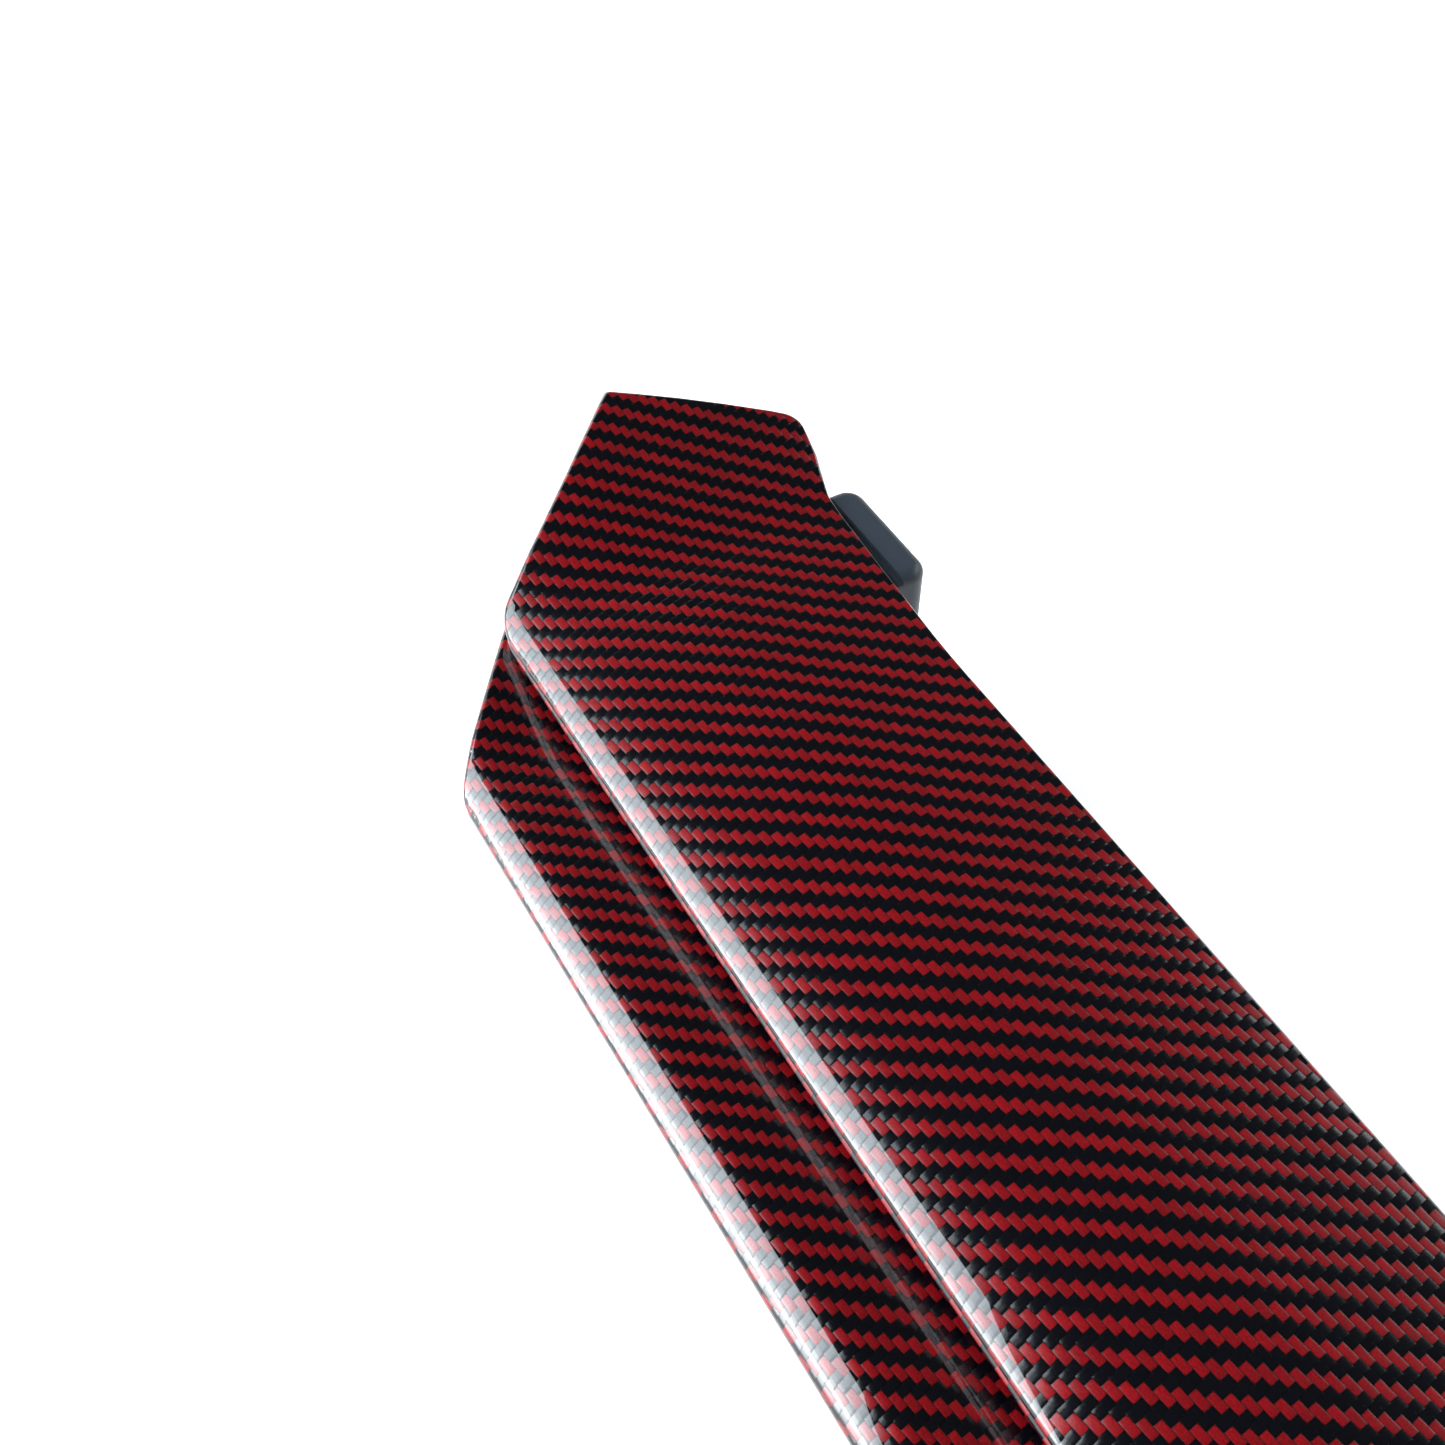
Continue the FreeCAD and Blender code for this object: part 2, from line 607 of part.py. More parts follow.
def lower_blade(envelope):
    """Skins, tube spar, foam core and insert blocks of the lower blade."""
    skins("lower", lower, "front", [envelope])
    core = cut("lower_core", swept("lower_core_full", "lower", lower.core()), envelope)
    half = inboard("lower_bend_x") - size("tube_spar_end")
    middle = Vector(-half, size("lower_crown_y"), 0)
    middle.z = size("lower_crown_z") - size("tube_spar_drop")
    length = 2 * half
    radius = size("tube_spar_r")
    tube = doc.addObject("Part::Cylinder", "tube_spar_outer")
    tube.setExpression("Radius", "Sizes.tube_spar_r")
    tube.Height = length
    tube.Placement = Placement(middle, Rotation(UP, SPAN))
    bore = doc.addObject("Part::Cylinder", "tube_spar_bore")
    bore.setExpression("Radius", "Sizes.tube_spar_r - Sizes.tube_spar_wall")
    bore.Height = length
    bore.Placement = tube.Placement
    keep(cut("tube_spar", tube, bore), "lower_blade_tube_spar")

    channel = doc.addObject("Part::Cylinder", "tube_spar_channel")
    channel.setExpression("Radius", "Sizes.tube_spar_r + Sizes.bond_gap")
    channel.Height = length
    channel.Placement = tube.Placement
    x, y = insert_limits("front")
    block = box("lower_insert_pocket", x, y, (0.0, ABOVE))
    whole("lower_blade_foam", cut("lower_foam_bored", core, channel, block))
    insert_pair("lower", "front", core)


# ---------------------------------------------------------------- PartDesign helpers
def new_body(name):
    return doc.addObject("PartDesign::Body", name)


def plane_sketch(body, name, role, edges):
    """Sketch of these edges on one of the body's own origin planes."""
    plane = [f for f in body.Origin.OriginFeatures if f.Role == role][0]
    item = body.newObject("Sketcher::SketchObject", name)
    item.AttachmentSupport = (plane, [""])
    item.MapMode = "FlatFace"
    item.addGeometry(edges, False)
    return item


def pad(body, name, profile, cell, both_ways=True, turned=False):
    """Pad of a sketch whose length is an expression of sheet cells."""
    item = body.newObject("PartDesign::Pad", name)
    item.Profile = profile
    item.SideType = "Symmetric" if both_ways else "One side"
    item.Reversed = turned
    item.setExpression("Length", cell)
    return item


def pocket(body, name, profile, cell, turned=False, both_ways=True):
    """Pocket that must remove something."""
    doc.recompute()
    before = body.Tip.Shape.Volume
    item = body.newObject("PartDesign::Pocket", name)
    item.Profile = profile
    item.SideType = "Symmetric" if both_ways else "One side"
    item.Reversed = turned
    item.setExpression("Length", cell)
    doc.recompute()
    if item.Shape.Volume > before - 1e-3:
        raise RuntimeError(f"{name} removes nothing")
    return item


def ring(centre, radius):
    return Part.Circle(Vector(*centre, 0), Vector(0, 0, 1), radius)


def rectangle(x, y):
    """Sharp rectangle between pairs of limits."""
    corners = ((x[0], y[0], 0), (x[1], y[0], 0), (x[1], y[1], 0), (x[0], y[1], 0))
    return rounded(corners)


# proportions of the fasteners to their thread
CAP_R = 0.875
CAP_SOCKET_R = 0.43
BUTTON_DEPTH = 0.6
BUTTON_RIM = 0.75
BUTTON_SOCKET_R = 0.33
NUT_DEPTH = 0.8
NUT_R = 0.96

# ---------------------------------------------------------------- brackets
PIVOT = Vector(size("pivot_y"), size("pivot_z"), 0)


def round_pivot(radius, angle):
    """Point of the side view at this radius and angle from the tilt axis."""
    turn = math.radians(angle)
    return PIVOT + Vector(math.cos(turn), math.sin(turn), 0) * radius


def arc_slot():
    """Slot that the lock screw follows, seen from the side."""
    half = (size("lock_d") + size("lock_play")) / 2
    first = size("lock_angle") - size("tilt_range") - size("slot_margin")
    last = size("lock_angle") + size("slot_margin")
    middle = (first + last) / 2
    radius = size("lock_radius")
    outer = [round_pivot(radius + half, angle) for angle in (first, middle, last)]
    inner = [round_pivot(radius - half, angle) for angle in (last, middle, first)]
    ends = []
    for angle, away in ((last, 1), (first, -1)):
        turn = math.radians(angle)
        along = Vector(-math.sin(turn), math.cos(turn), 0) * away
        ends.append(round_pivot(radius, angle) + along * half)
    return [
        Part.Arc(*outer),
        Part.Arc(outer[2], ends[0], inner[0]),
        Part.Arc(*inner),
        Part.Arc(inner[2], ends[1], outer[0]),
    ]


def web_outline():
    """Upright web from the pivot eye to both blades and round the arc slot."""
    rim = size("lock_radius") + size("lock_d") / 2 + size("lock_rim")
    low = size("lock_angle") - size("tilt_range") - 3 * size("slot_margin")
    slot_foot = round_pivot(rim, low)
    eye_foot = PIVOT.y - size("eye_r")
    eye_front = PIVOT.x - size("eye_r")
    arm = size("rear_flange_y")
    step = lower.underside(size("lower_tail_y")) - size("web_step")
    arm_top = size("upper_crown_z") - size("flange_overrun")
    corner = size("web_corner_r")
    return rounded((
        (size("front_flange_y"), size("front_seat_z"), size("web_toe_r")),
        (size("front_flange_y"), step, 0.0),
        (arm, step, 0.0),
        (arm, arm_top, 0.0),
        (size("rear_flange_end"), arm_top, 0.0),
        (size("rear_flange_end"), size("rear_seat_z"), 0.0),
        (PIVOT.x + rim, PIVOT.y + size("lock_radius") / 2, corner),
        (PIVOT.x + rim, slot_foot.y, corner),
        (slot_foot.x - size("lock_rim"), slot_foot.y - size("lock_rim"), corner),
        (PIVOT.x, eye_foot, corner),
        (eye_front, eye_foot, size("eye_corner_r")),
        (eye_front, PIVOT.y, corner),
    ))


def bracket(envelopes):
    """Web and two flanges, machined to the undersides of both blades."""
    body = new_body("bracket_body")
    profile = plane_sketch(body, "web_profile", "YZ_Plane", web_outline())
    pad(body, "web", profile, "Sizes.web_width")
    for row in ("front", "rear"):
        y = (size(f"{row}_flange_y"), size(f"{row}_flange_end"))
        crown = size("lower_crown_z") if row == "front" else size("upper_crown_z")
        z = (size(f"{row}_seat_z"), crown - size("flange_overrun"))
        profile = plane_sketch(body, f"{row}_flange_profile", "YZ_Plane", rectangle(y, z))
        pad(body, f"{row}_flange", profile, "Sizes.flange_reach", both_ways=False)
    width = "Sizes.web_width * 2"
    bush = size("pivot_d") / 2 + size("bush_wall")
    pivot_hole = [ring((PIVOT.x, PIVOT.y), bush)]
    profile = plane_sketch(body, "pivot_hole_profile", "YZ_Plane", pivot_hole)
    pocket(body, "pivot_hole", profile, width)
    profile = plane_sketch(body, "arc_slot_profile", "YZ_Plane", arc_slot())
    pocket(body, "arc_slot", profile, width)
    body.Placement.Base = Vector(-inboard("riser_x"), 0, 0)
    holes = []
    for row in ("front", "rear"):
        length = size("upper_crown_z") - size("rear_seat_z")
        holes += screw_bores(f"{row}_flange_hole", row, "screw_hole_play", length)
    pair("bracket", cut("fitted_bracket", body, *envelopes, *holes))


def bracket_screws(row):
    """Socket head cap screws, four in all, as one node."""
    diameter = size("thread_d")
    heads = []
    for k, place in enumerate(SCREWS[row], start=1):
        shank = rod(f"{row}_shank_{k}", "thread_d", size(f"{row}_screw_length"), place, UP)
        head = doc.addObject("Part::Cylinder", f"{row}_head_{k}")
        head.setExpression("Radius", f"Sizes.thread_d * {CAP_R}")
        head.setExpression("Height", "Sizes.thread_d")
        head.Placement.Base = place - UP * diameter
        socket = doc.addObject("Part::Prism", f"{row}_socket_{k}")
        socket.setExpression("Circumradius", f"Sizes.thread_d * {CAP_SOCKET_R}")
        socket.setExpression("Height", "Sizes.thread_d / 2")
        socket.Placement.Base = head.Placement.Base
        whole_screw = fuse(f"{row}_screw_{k}", [shank, head])
        heads.append(cut(f"{row}_socket_screw_{k}", whole_screw, socket))
    left = group(f"{row}_screws_left", heads)
    right = mirrored(f"{row}_screws_right", left)
    keep(group(f"{row}_screws", [left, right]), f"{row}_bracket_screws")


# ---------------------------------------------------------------- risers
def cheek_outline():
    """Cheeks of a riser seen from the side: rounded over the pivot, low at the rear."""
    top = PIVOT.y + size("cheek_r")
    foot = size("gasket") + size("foot_depth")
    front = PIVOT.x - size("cheek_r")
    rear = size("riser_rear_y") - size("post_wall")
    return rounded((
        (size("riser_front_y"), foot / 2, 0.0),
        (rear, foot / 2, 0.0),
        (rear, top, 0.0),
        (front, top, size("cheek_r")),
        (front, PIVOT.y - size("cheek_r"), size("cheek_toe_r")),
        (size("riser_front_y"), foot + size("cheek_toe"), 0.0),
    ))


def post_outline():
    """Rear post of a riser seen from the side, up to the lip behind the trailing edge."""
    foot = (size("gasket") + size("foot_depth")) / 2
    rear = size("riser_rear_y")
    cheek_top = PIVOT.y + size("cheek_r")
    return rounded((
        (size("cheek_end_y"), foot, 0.0),
        (rear, foot, 0.0),
        (rear, size("lip_z"), 0.0),
        (size("post_front_y"), size("lip_z"), 0.0),
        (size("post_foot_y"), cheek_top + size("post_step"), size("post_bend_r")),
        (size("cheek_end_y"), cheek_top, 0.0),
    ))


def foot_outline():
    half = size("foot_width") / 2
    front = size("foot_front_y")
    rear = size("foot_rear_y")
    corner = size("foot_corner_r")
    return rounded((
        (-half, front, corner), (half, front, corner), (half, rear, corner), (-half, rear, corner),
    ))


def mount_places():
    """Mounting holes of one riser, from its own middle."""
    half_x = size("mount_pitch_x") / 2
    half_y = size("mount_pitch_y") / 2
    middle = size("mount_y")
    return [(x, middle + y) for x in (-half_x, half_x) for y in (-half_y, half_y)]


def chosen_edges(shape, wanted):
    """Names of the edges whose middle and direction there pass a test."""
    names = []
    for k, edge in enumerate(shape.Edges, start=1):
        halfway = (edge.FirstParameter + edge.LastParameter) / 2
        if wanted(edge.valueAt(halfway), edge.tangentAt(halfway)):
            names.append(f"Edge{k}")
    return names


def fillet(body, name, wanted, cell):
    """Fillet of the edges of the body that pass a test."""
    doc.recompute()
    base = body.Tip
    item = body.newObject("PartDesign::Fillet", name)
    item.Base = (base, chosen_edges(base.Shape, wanted))
    item.setExpression("Radius", f"Sizes.{cell}")
    doc.recompute()
    return item


# length that passes through a riser from side to side
ACROSS = "Sizes.riser_width * 2"


def riser():
    """Moulded riser: foot, two cheeks with a slot for the bracket, and a rear post."""
    body = new_body("riser_body")
    profile = plane_sketch(body, "post_profile", "YZ_Plane", post_outline())
    pad(body, "post", profile, "Sizes.riser_width")
    half = size("riser_width") / 2
    rear = size("riser_rear_y")
    top = size("lip_z")
    cheek_top = PIVOT.y + size("cheek_r")

    def rear_corner(point, along):
        upright = abs(along.z) > 0.99
        return upright and abs(point.y - rear) < 0.01 and abs(abs(point.x) - half) < 0.01

    def top_edge(point, along):
        return abs(point.z - top) < 0.01 and point.y > size("post_front_y") + 0.1

    fillet(body, "post_corners", rear_corner, "post_corner_r")
    fillet(body, "post_top_edge", top_edge, "post_top_r")
    lip_y = size("tip_flare_y") + size("lip_gap")
    seat = rectangle((size("cheek_end_y"), lip_y), (size("riser_top_z"), top + TRIM))
    pocket(body, "blade_seat", plane_sketch(body, "seat_profile", "YZ_Plane", seat), ACROSS)
    profile = plane_sketch(body, "cheek_profile", "YZ_Plane", cheek_outline())
    pad(body, "cheeks", profile, "Sizes.cheek_width")

    foot = plane_sketch(body, "foot_profile", "XY_Plane", foot_outline())
    foot.AttachmentOffset.Base = Vector(0, 0, size("gasket"))
    pad(body, "foot", foot, "Sizes.foot_depth", both_ways=False)

    floor = size("cheek_floor_z")
    slot = rounded((
        (size("cheek_end_y"), floor, size("cheek_floor_r")),
        (size("cheek_end_y"), cheek_top + TRIM, 0.0),
        (size("foot_front_y"), cheek_top + TRIM, 0.0),
        (size("foot_front_y"), floor, 0.0),
    ))
    profile = plane_sketch(body, "slot_profile", "YZ_Plane", slot)
    pocket(body, "bracket_slot", profile, "Sizes.web_width + 2 * Sizes.cheek_play")

    bores = [ring((PIVOT.x, PIVOT.y), (size("pivot_d") + size("bolt_hole_play")) / 2)]
    lock = round_pivot(size("lock_radius"), size("lock_angle"))
    bores.append(ring((lock.x, lock.y), (size("lock_d") + size("bolt_hole_play")) / 2))
    profile = plane_sketch(body, "bolt_hole_profile", "YZ_Plane", bores)
    pocket(body, "bolt_holes", profile, ACROSS)

    sleeve = size("mount_d") / 2 + size("sleeve_wall")
    holes = [ring(place, sleeve) for place in mount_places()]
    profile = plane_sketch(body, "sleeve_hole_profile", "XY_Plane", holes)
    depth = "(Sizes.gasket + Sizes.foot_depth) * 2"
    pocket(body, "sleeve_holes", profile, depth)

    x = (-size("pad_width") / 2, size("pad_width") / 2)
    y = (size("pad_front_y"), size("pad_end_y"))
    profile = plane_sketch(body, "pad_pocket_profile", "XY_Plane", rectangle(x, y))
    profile.AttachmentOffset.Base = Vector(0, 0, size("riser_top_z"))
    pocket(body, "pad_pocket", profile, "Sizes.pad_recess * 2")

    wall = size("post_wall")
    x = (wall - half, half - wall)
    y = (size("post_front_y") + wall / 2, rear - wall)
    profile = plane_sketch(body, "post_core_profile", "XY_Plane", rectangle(x, y))
    pocket(body, "post_core", profile, "(Sizes.riser_top_z - Sizes.post_roof) * 2")
    body.Placement.Base = Vector(-inboard("riser_x"), 0, 0)
    pair("riser", body)


def rest_pad():
    """Rubber pad whose sloping top meets the underside of the resting blade."""
    low = size("riser_top_z") - size("pad_recess")
    front = size("pad_front_y")
    rear = size("pad_end_y")
    gap = size("pad_gap")
    profile = rounded((
        (front, low, 0.0), (rear, low, 0.0),
        (rear, upper.underside(rear) - gap, 0.0), (front, upper.underside(front) - gap, 0.0),
    ))
    body = new_body("pad_body")
    pad(body, "pad_block", plane_sketch(body, "pad_profile", "YZ_Plane", profile), "Sizes.pad_width")
    body.Placement.Base = Vector(-inboard("riser_x"), 0, 0)
    pair("rest_pad", body)


def base_gasket():
    """Rubber sheet under the foot, with its four holes."""
    body = new_body("gasket_body")
    profile = plane_sketch(body, "gasket_profile", "XY_Plane", foot_outline())
    pad(body, "gasket_sheet", profile, "Sizes.gasket", both_ways=False)
    sleeve = size("mount_d") / 2 + size("sleeve_wall")
    holes = [ring(place, sleeve) for place in mount_places()]
    profile = plane_sketch(body, "gasket_hole_profile", "XY_Plane", holes)
    pocket(body, "gasket_holes", profile, "Sizes.gasket * 4")
    body.Placement.Base = Vector(-inboard("riser_x"), 0, 0)
    pair("base_gasket", body)


def mounting_sleeves():
    """Steel sleeves that take the clamping of the mounting screws."""
    sleeves = []
    for k, (x, y) in enumerate(mount_places(), start=1):
        base = Vector(x - inboard("riser_x"), y, 0)
        length = size("gasket") + size("foot_depth")
        outer = rod(f"sleeve_outer_{k}", "mount_d", length, base, UP, 2 * size("sleeve_wall"))
        bore = rod(f"sleeve_bore_{k}", "mount_d", length, base, UP)
        sleeves.append(cut(f"sleeve_{k}", outer, bore))
    left = group("sleeves_left", sleeves)
    right = mirrored("sleeves_right", left)
    keep(group("sleeves", [left, right]), "mounting_sleeves")


# ---------------------------------------------------------------- pivot and lock hardware
def across(name, cell, place):
    """Bolt, two washers and nut across one riser, at a place of the side view."""
    diameter = size(cell)
    washer = size("washer_width")
    head = BUTTON_DEPTH * diameter
    nut = NUT_DEPTH * diameter
    cheek = size("cheek_width") / 2
    middle = -inboard("riser_x")
    outer = middle - cheek
    inner = middle + cheek
    shank_length = 2 * cheek + 2 * washer + nut + size("bolt_end")
    start = Vector(outer - washer, place.x, place.y)
    shank = rod(f"{name}_shank", cell, shank_length, start)
    cap = rod(f"{name}_cap", cell, head, start - SPAN * head, SPAN, BUTTON_RIM * diameter)
    socket_r = BUTTON_SOCKET_R * diameter
    socket = hexagon(f"{name}_socket", socket_r, head / 2, start - SPAN * head)
    bolt = cut(f"{name}_bolt_left", fuse(f"{name}_blank", [shank, cap]), socket)

    rings = []
    for side, x in (("outer", outer - washer), ("inner", inner)):
        base = Vector(x, place.x, place.y)
        disc = rod(f"{name}_{side}_disc", cell, washer, base, SPAN, 2 * size("washer_rim"))
        hole = rod(f"{name}_{side}_hole", cell, washer, base, SPAN, size("bolt_hole_play"))
        rings.append(cut(f"{name}_{side}_washer", disc, hole))
    base = Vector(inner + washer, place.x, place.y)
    blank = hexagon(f"{name}_nut_blank", NUT_R * diameter, nut, base)
    thread = rod(f"{name}_nut_thread", cell, nut, base, SPAN, size("nut_play"))
    nut_left = cut(f"{name}_nut_left", blank, thread)

    for kind, left in (
        ("bolts", bolt), ("washers", group(f"{name}_washer_pair", rings)), ("nuts", nut_left),
    ):
        right = mirrored(f"{name}_{kind}_right", left)
        keep(group(f"{name}_{kind}_both", [left, right]), f"{name}_{kind}")


def hexagon(name, radius, length, base):
    """Hexagonal prism along the span."""
    item = doc.addObject("Part::Prism", name)
    item.Circumradius = radius
    item.Height = length
    item.Placement = Placement(base, Rotation(UP, SPAN))
    return item


def pivot_bush():
    """Plain bush pressed into the bracket, as wide as its web."""
    base = Vector(-inboard("riser_x") - size("web_width") / 2, PIVOT.x, PIVOT.y)
    outer = rod("bush_outer", "pivot_d", size("web_width"), base, SPAN, 2 * size("bush_wall"))
    bore = rod("bush_bore", "pivot_d", size("web_width"), base, SPAN, size("bush_play"))
    pair("pivot_bush", cut("bush", outer, bore))


# ---------------------------------------------------------------- assembly
upper_envelope = swept("upper_envelope", "upper", upper.envelope())
lower_envelope = swept("lower_envelope", "lower", lower.envelope())
upper_blade()
lower_blade(upper_envelope)
bracket([lower_envelope, upper_envelope])
bracket_screws("front")
bracket_screws("rear")
pivot_bush()
riser()
rest_pad()
base_gasket()
mounting_sleeves()
across("pivot", "pivot_d", PIVOT)
across("lock", "lock_d", round_pivot(size("lock_radius"), size("lock_angle")))
doc.recompute()

for item in doc.Objects:
    if "Invalid" in item.State or "Error" in item.State:
        raise RuntimeError(f"{item.Label} failed: {item.State}")
os.makedirs("parts", exist_ok=True)
for item in NODES:
    shape = item.Shape
    if shape.isNull() or not shape.isValid() or not shape.Solids:
        raise RuntimeError(f"{item.Label} is not a sound solid")
    shape.exportStep(f"parts/{item.Label}.step")
    print(f"{item.Label}: {len(shape.Solids)} solids, {shape.Volume:.0f} cubic millimetres")
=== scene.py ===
# %% [markdown]
# # A double-deck racing rear wing
# Two curved blades of red aramid and black carbon cloth under a thick gloss coat stand one behind
# and above the other. They are carried by two slate-grey moulded risers and can tilt.
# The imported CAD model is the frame: every piece made here takes its place from it. The blades are
# made anew, because they need soft edges and a cloth that follows the surface. The risers, brackets
# and screws keep their CAD shape and get better finishes.

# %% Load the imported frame
import bmesh, bpy, json, math
from bisect import bisect_right
from mathutils import Matrix, Vector


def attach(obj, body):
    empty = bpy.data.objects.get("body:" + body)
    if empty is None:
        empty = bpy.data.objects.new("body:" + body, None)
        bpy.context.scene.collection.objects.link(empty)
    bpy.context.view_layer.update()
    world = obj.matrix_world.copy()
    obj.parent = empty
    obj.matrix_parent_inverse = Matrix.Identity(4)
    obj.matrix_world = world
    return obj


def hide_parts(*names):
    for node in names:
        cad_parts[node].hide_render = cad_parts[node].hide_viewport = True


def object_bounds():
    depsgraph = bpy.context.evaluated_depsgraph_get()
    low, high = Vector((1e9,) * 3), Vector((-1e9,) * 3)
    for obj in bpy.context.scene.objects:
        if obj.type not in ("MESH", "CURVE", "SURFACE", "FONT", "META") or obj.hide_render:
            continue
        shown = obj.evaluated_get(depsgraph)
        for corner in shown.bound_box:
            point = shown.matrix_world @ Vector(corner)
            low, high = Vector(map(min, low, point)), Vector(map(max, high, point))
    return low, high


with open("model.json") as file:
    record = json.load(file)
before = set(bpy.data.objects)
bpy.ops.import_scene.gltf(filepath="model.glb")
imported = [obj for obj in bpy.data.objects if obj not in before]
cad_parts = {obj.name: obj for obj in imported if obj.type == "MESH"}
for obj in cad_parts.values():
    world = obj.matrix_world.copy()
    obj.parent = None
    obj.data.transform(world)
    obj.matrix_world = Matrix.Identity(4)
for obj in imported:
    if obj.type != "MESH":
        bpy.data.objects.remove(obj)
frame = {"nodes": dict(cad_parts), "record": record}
cad_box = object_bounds()
nodes = frame["nodes"]
SLOT_OF = {part["node"]: part["material_slot"] for part in frame["record"]["subparts"]}
MM = 0.001
print(f"{len(nodes)} CAD nodes, {(cad_box[1].x - cad_box[0].x) / MM:.0f} mm wide")

# %% [markdown]
# ## The camera
# The wing is seen from above its front edge, looking along it towards the far tip.
# A camera is placed by its position and three directions, which become the columns of its matrix,
# because that is exact where turning it by hand is not.

# %% Place the camera
VIEWPOINT = Vector((-38.4, -138.0, 400.6)) * MM
PITCH, HEADING = math.radians(49.533), math.radians(-60.248)
LENS = 45.64
NEAREST_SEEN = 0.01

level = math.cos(PITCH)
forward = Vector((math.sin(HEADING) * level, math.cos(HEADING) * level, -math.sin(PITCH)))
right = forward.cross(Vector((0, 0, 1))).normalized()
turn = Matrix((right, right.cross(forward), -forward)).transposed()
camera = bpy.data.objects.new("view", bpy.data.cameras.new("view"))
bpy.context.scene.collection.objects.link(camera)
camera.matrix_world = Matrix.Translation(VIEWPOINT) @ turn.to_4x4()
camera.data.lens = LENS
camera.data.clip_start = NEAREST_SEEN
bpy.context.scene.camera = camera
print("the camera looks along", [round(v, 3) for v in forward])

# %% [markdown]
# ## The outline of a blade
# A blade's section is six tangent arcs: crown, shoulder, upper nose, tip of the nose, lower nose
# and belly, closed by a flat rear top and a flat underside that meet in a thin trailing edge. Each
# arc is one spin of a single vertex, so the edge stays as smooth as the step count allows.
# The cloth follows the surface, so every vertex also carries its distance along the section and
# along the span. Those two numbers, turned by the angle the cloth was laid at, become the UV map.
# Each blade's values are millimetres and degrees: the highest point, the radius of each arc and how
# far the surface leans where it starts, where the skins meet inside, the trailing edge, the bend
# near the tip (place, radius, angle), how far out the sweep runs before it is trimmed, and how the
# cloth lies (angle, fineness, two shifts).

# %% Values of the two blades
UPPER = {
    "crown": (0.5, 95.0),
    "radii": (150.0, 60.0, 10.0, 2.2, 8.3, 140.0), "leans": (-4.7, 8.0, 20.0, 50.0, 110.0, 185.0),
    "bond": 46.7, "end": 62.0, "bend": (308.0, 74.0, 15.6), "reach": 370.0,
    "cloth": (8.0, 1.0, -1.91, 0.0),
}
LOWER = {
    "crown": (-52.74, 76.7),
    "radii": (205.0, 12.9, 10.5, 2.6, 11.0, 130.0), "leans": (-4.7, 0.0, 20.0, 50.0, 112.0, 189.0),
    "bond": -7.0, "end": -2.0, "bend": (286.0, 60.0, 15.6), "reach": 330.0,
    "cloth": (8.0, 1.064, 12.27, -1.34),
}
STEPS = (20, 12, 12, 24, 10, 6)
TOP_STEPS, BELLY_STEPS, TAIL_STEPS = 4, 8, 2
SKINS = 1.6


def lean(angle):
    """Outward normal of a surface that leans by this angle in degrees."""
    turn = math.radians(angle)
    return Vector((0.0, -math.sin(turn), math.cos(turn)))


def spin_on(bm, vert, centre, degrees, steps):
    """Arc from a vertex; gives its last vertex."""
    result = bmesh.ops.spin(
        bm, geom=[vert], cent=centre, axis=(1, 0, 0), angle=math.radians(degrees), steps=steps,
    )
    return [v for v in result["geom_last"] if isinstance(v, bmesh.types.BMVert)][0]


def run_on(bm, vert, place, steps=1):
    """Straight run from a vertex to a place; gives its last vertex."""
    start = vert.co.copy()
    for k in range(1, steps + 1):
        result = bmesh.ops.extrude_vert_indiv(bm, verts=[vert])
        vert = result["verts"][0]
        vert.co = start.lerp(place, k / steps)
    return vert


def section_chain(bm, blade):
    """The section as one chain of vertices, from the top trailing edge round to the bottom one."""
    radii = [r * MM for r in blade["radii"]]
    leans = blade["leans"]
    crown = Vector((0, *(v * MM for v in blade["crown"])))
    tail = lean(leans[0])
    centres = [crown - lean(0) * radii[0]]
    for k in range(1, len(radii)):
        centres.append(centres[-1] + lean(leans[k]) * (radii[k - 1] - radii[k]))
    flat = centres[0] + tail * radii[0]
    fall = math.tan(math.radians(leans[0]))
    end = Vector((0, blade["end"] * MM, flat.z + (blade["end"] * MM - flat.y) * fall))
    bond_y = blade["bond"] * MM
    bond = Vector((0, bond_y, flat.z + (bond_y - flat.y) * fall)) - tail * SKINS * MM
    away = bond - centres[-1]
    bearing = math.degrees(math.atan2(away.z, away.y)) % 360
    last = bearing - 90 - math.degrees(math.acos(radii[-1] / away.length))
    first = bm.verts.new(end)
    vert = run_on(bm, first, flat, TOP_STEPS)
    bounds = (*leans, last)
    for k, centre in enumerate(centres):
        vert = spin_on(bm, vert, centre, bounds[k + 1] - bounds[k], STEPS[k])
    vert = run_on(bm, vert, bond, BELLY_STEPS)
    run_on(bm, vert, end - tail * SKINS * MM, TAIL_STEPS)
    return first


def walk(first):
    """The vertices of a chain in order, from one end."""
    chain = [first]
    while True:
        ahead = [e.other_vert(chain[-1]) for e in chain[-1].link_edges]
        ahead = [v for v in ahead if len(chain) < 2 or v is not chain[-2]]
        if not ahead:
            return chain
        chain.append(ahead[0])


# %% [markdown]
# ## Sweeping and trimming a blade
# The section is drawn out along the span, spun up by a few degrees near the tip and drawn out once
# more. The shell is then cut to its outline from above with one plane per edge of that outline.
# The cut stays a little inside the true outline, because the edge is rolled over afterwards.

# %% Sweep the section outwards
STRAIGHT_STEPS, BEND_STEPS, TIP_STEPS = 4, 8, 6


def ring_of(result):
    """The edges among the results of an operator."""
    return [e for e in result if isinstance(e, bmesh.types.BMEdge)]


def draw_out(bm, edges, step, count):
    """Extrude open edges along a step, several times; gives the last edges."""
    for _ in range(count):
        result = bmesh.ops.extrude_edge_only(bm, edges=edges)["geom"]
        moved = [v for v in result if isinstance(v, bmesh.types.BMVert)]
        bmesh.ops.translate(bm, vec=step, verts=moved)
        edges = [e for e in ring_of(result) if all(v in set(moved) for v in e.verts)]
    return edges


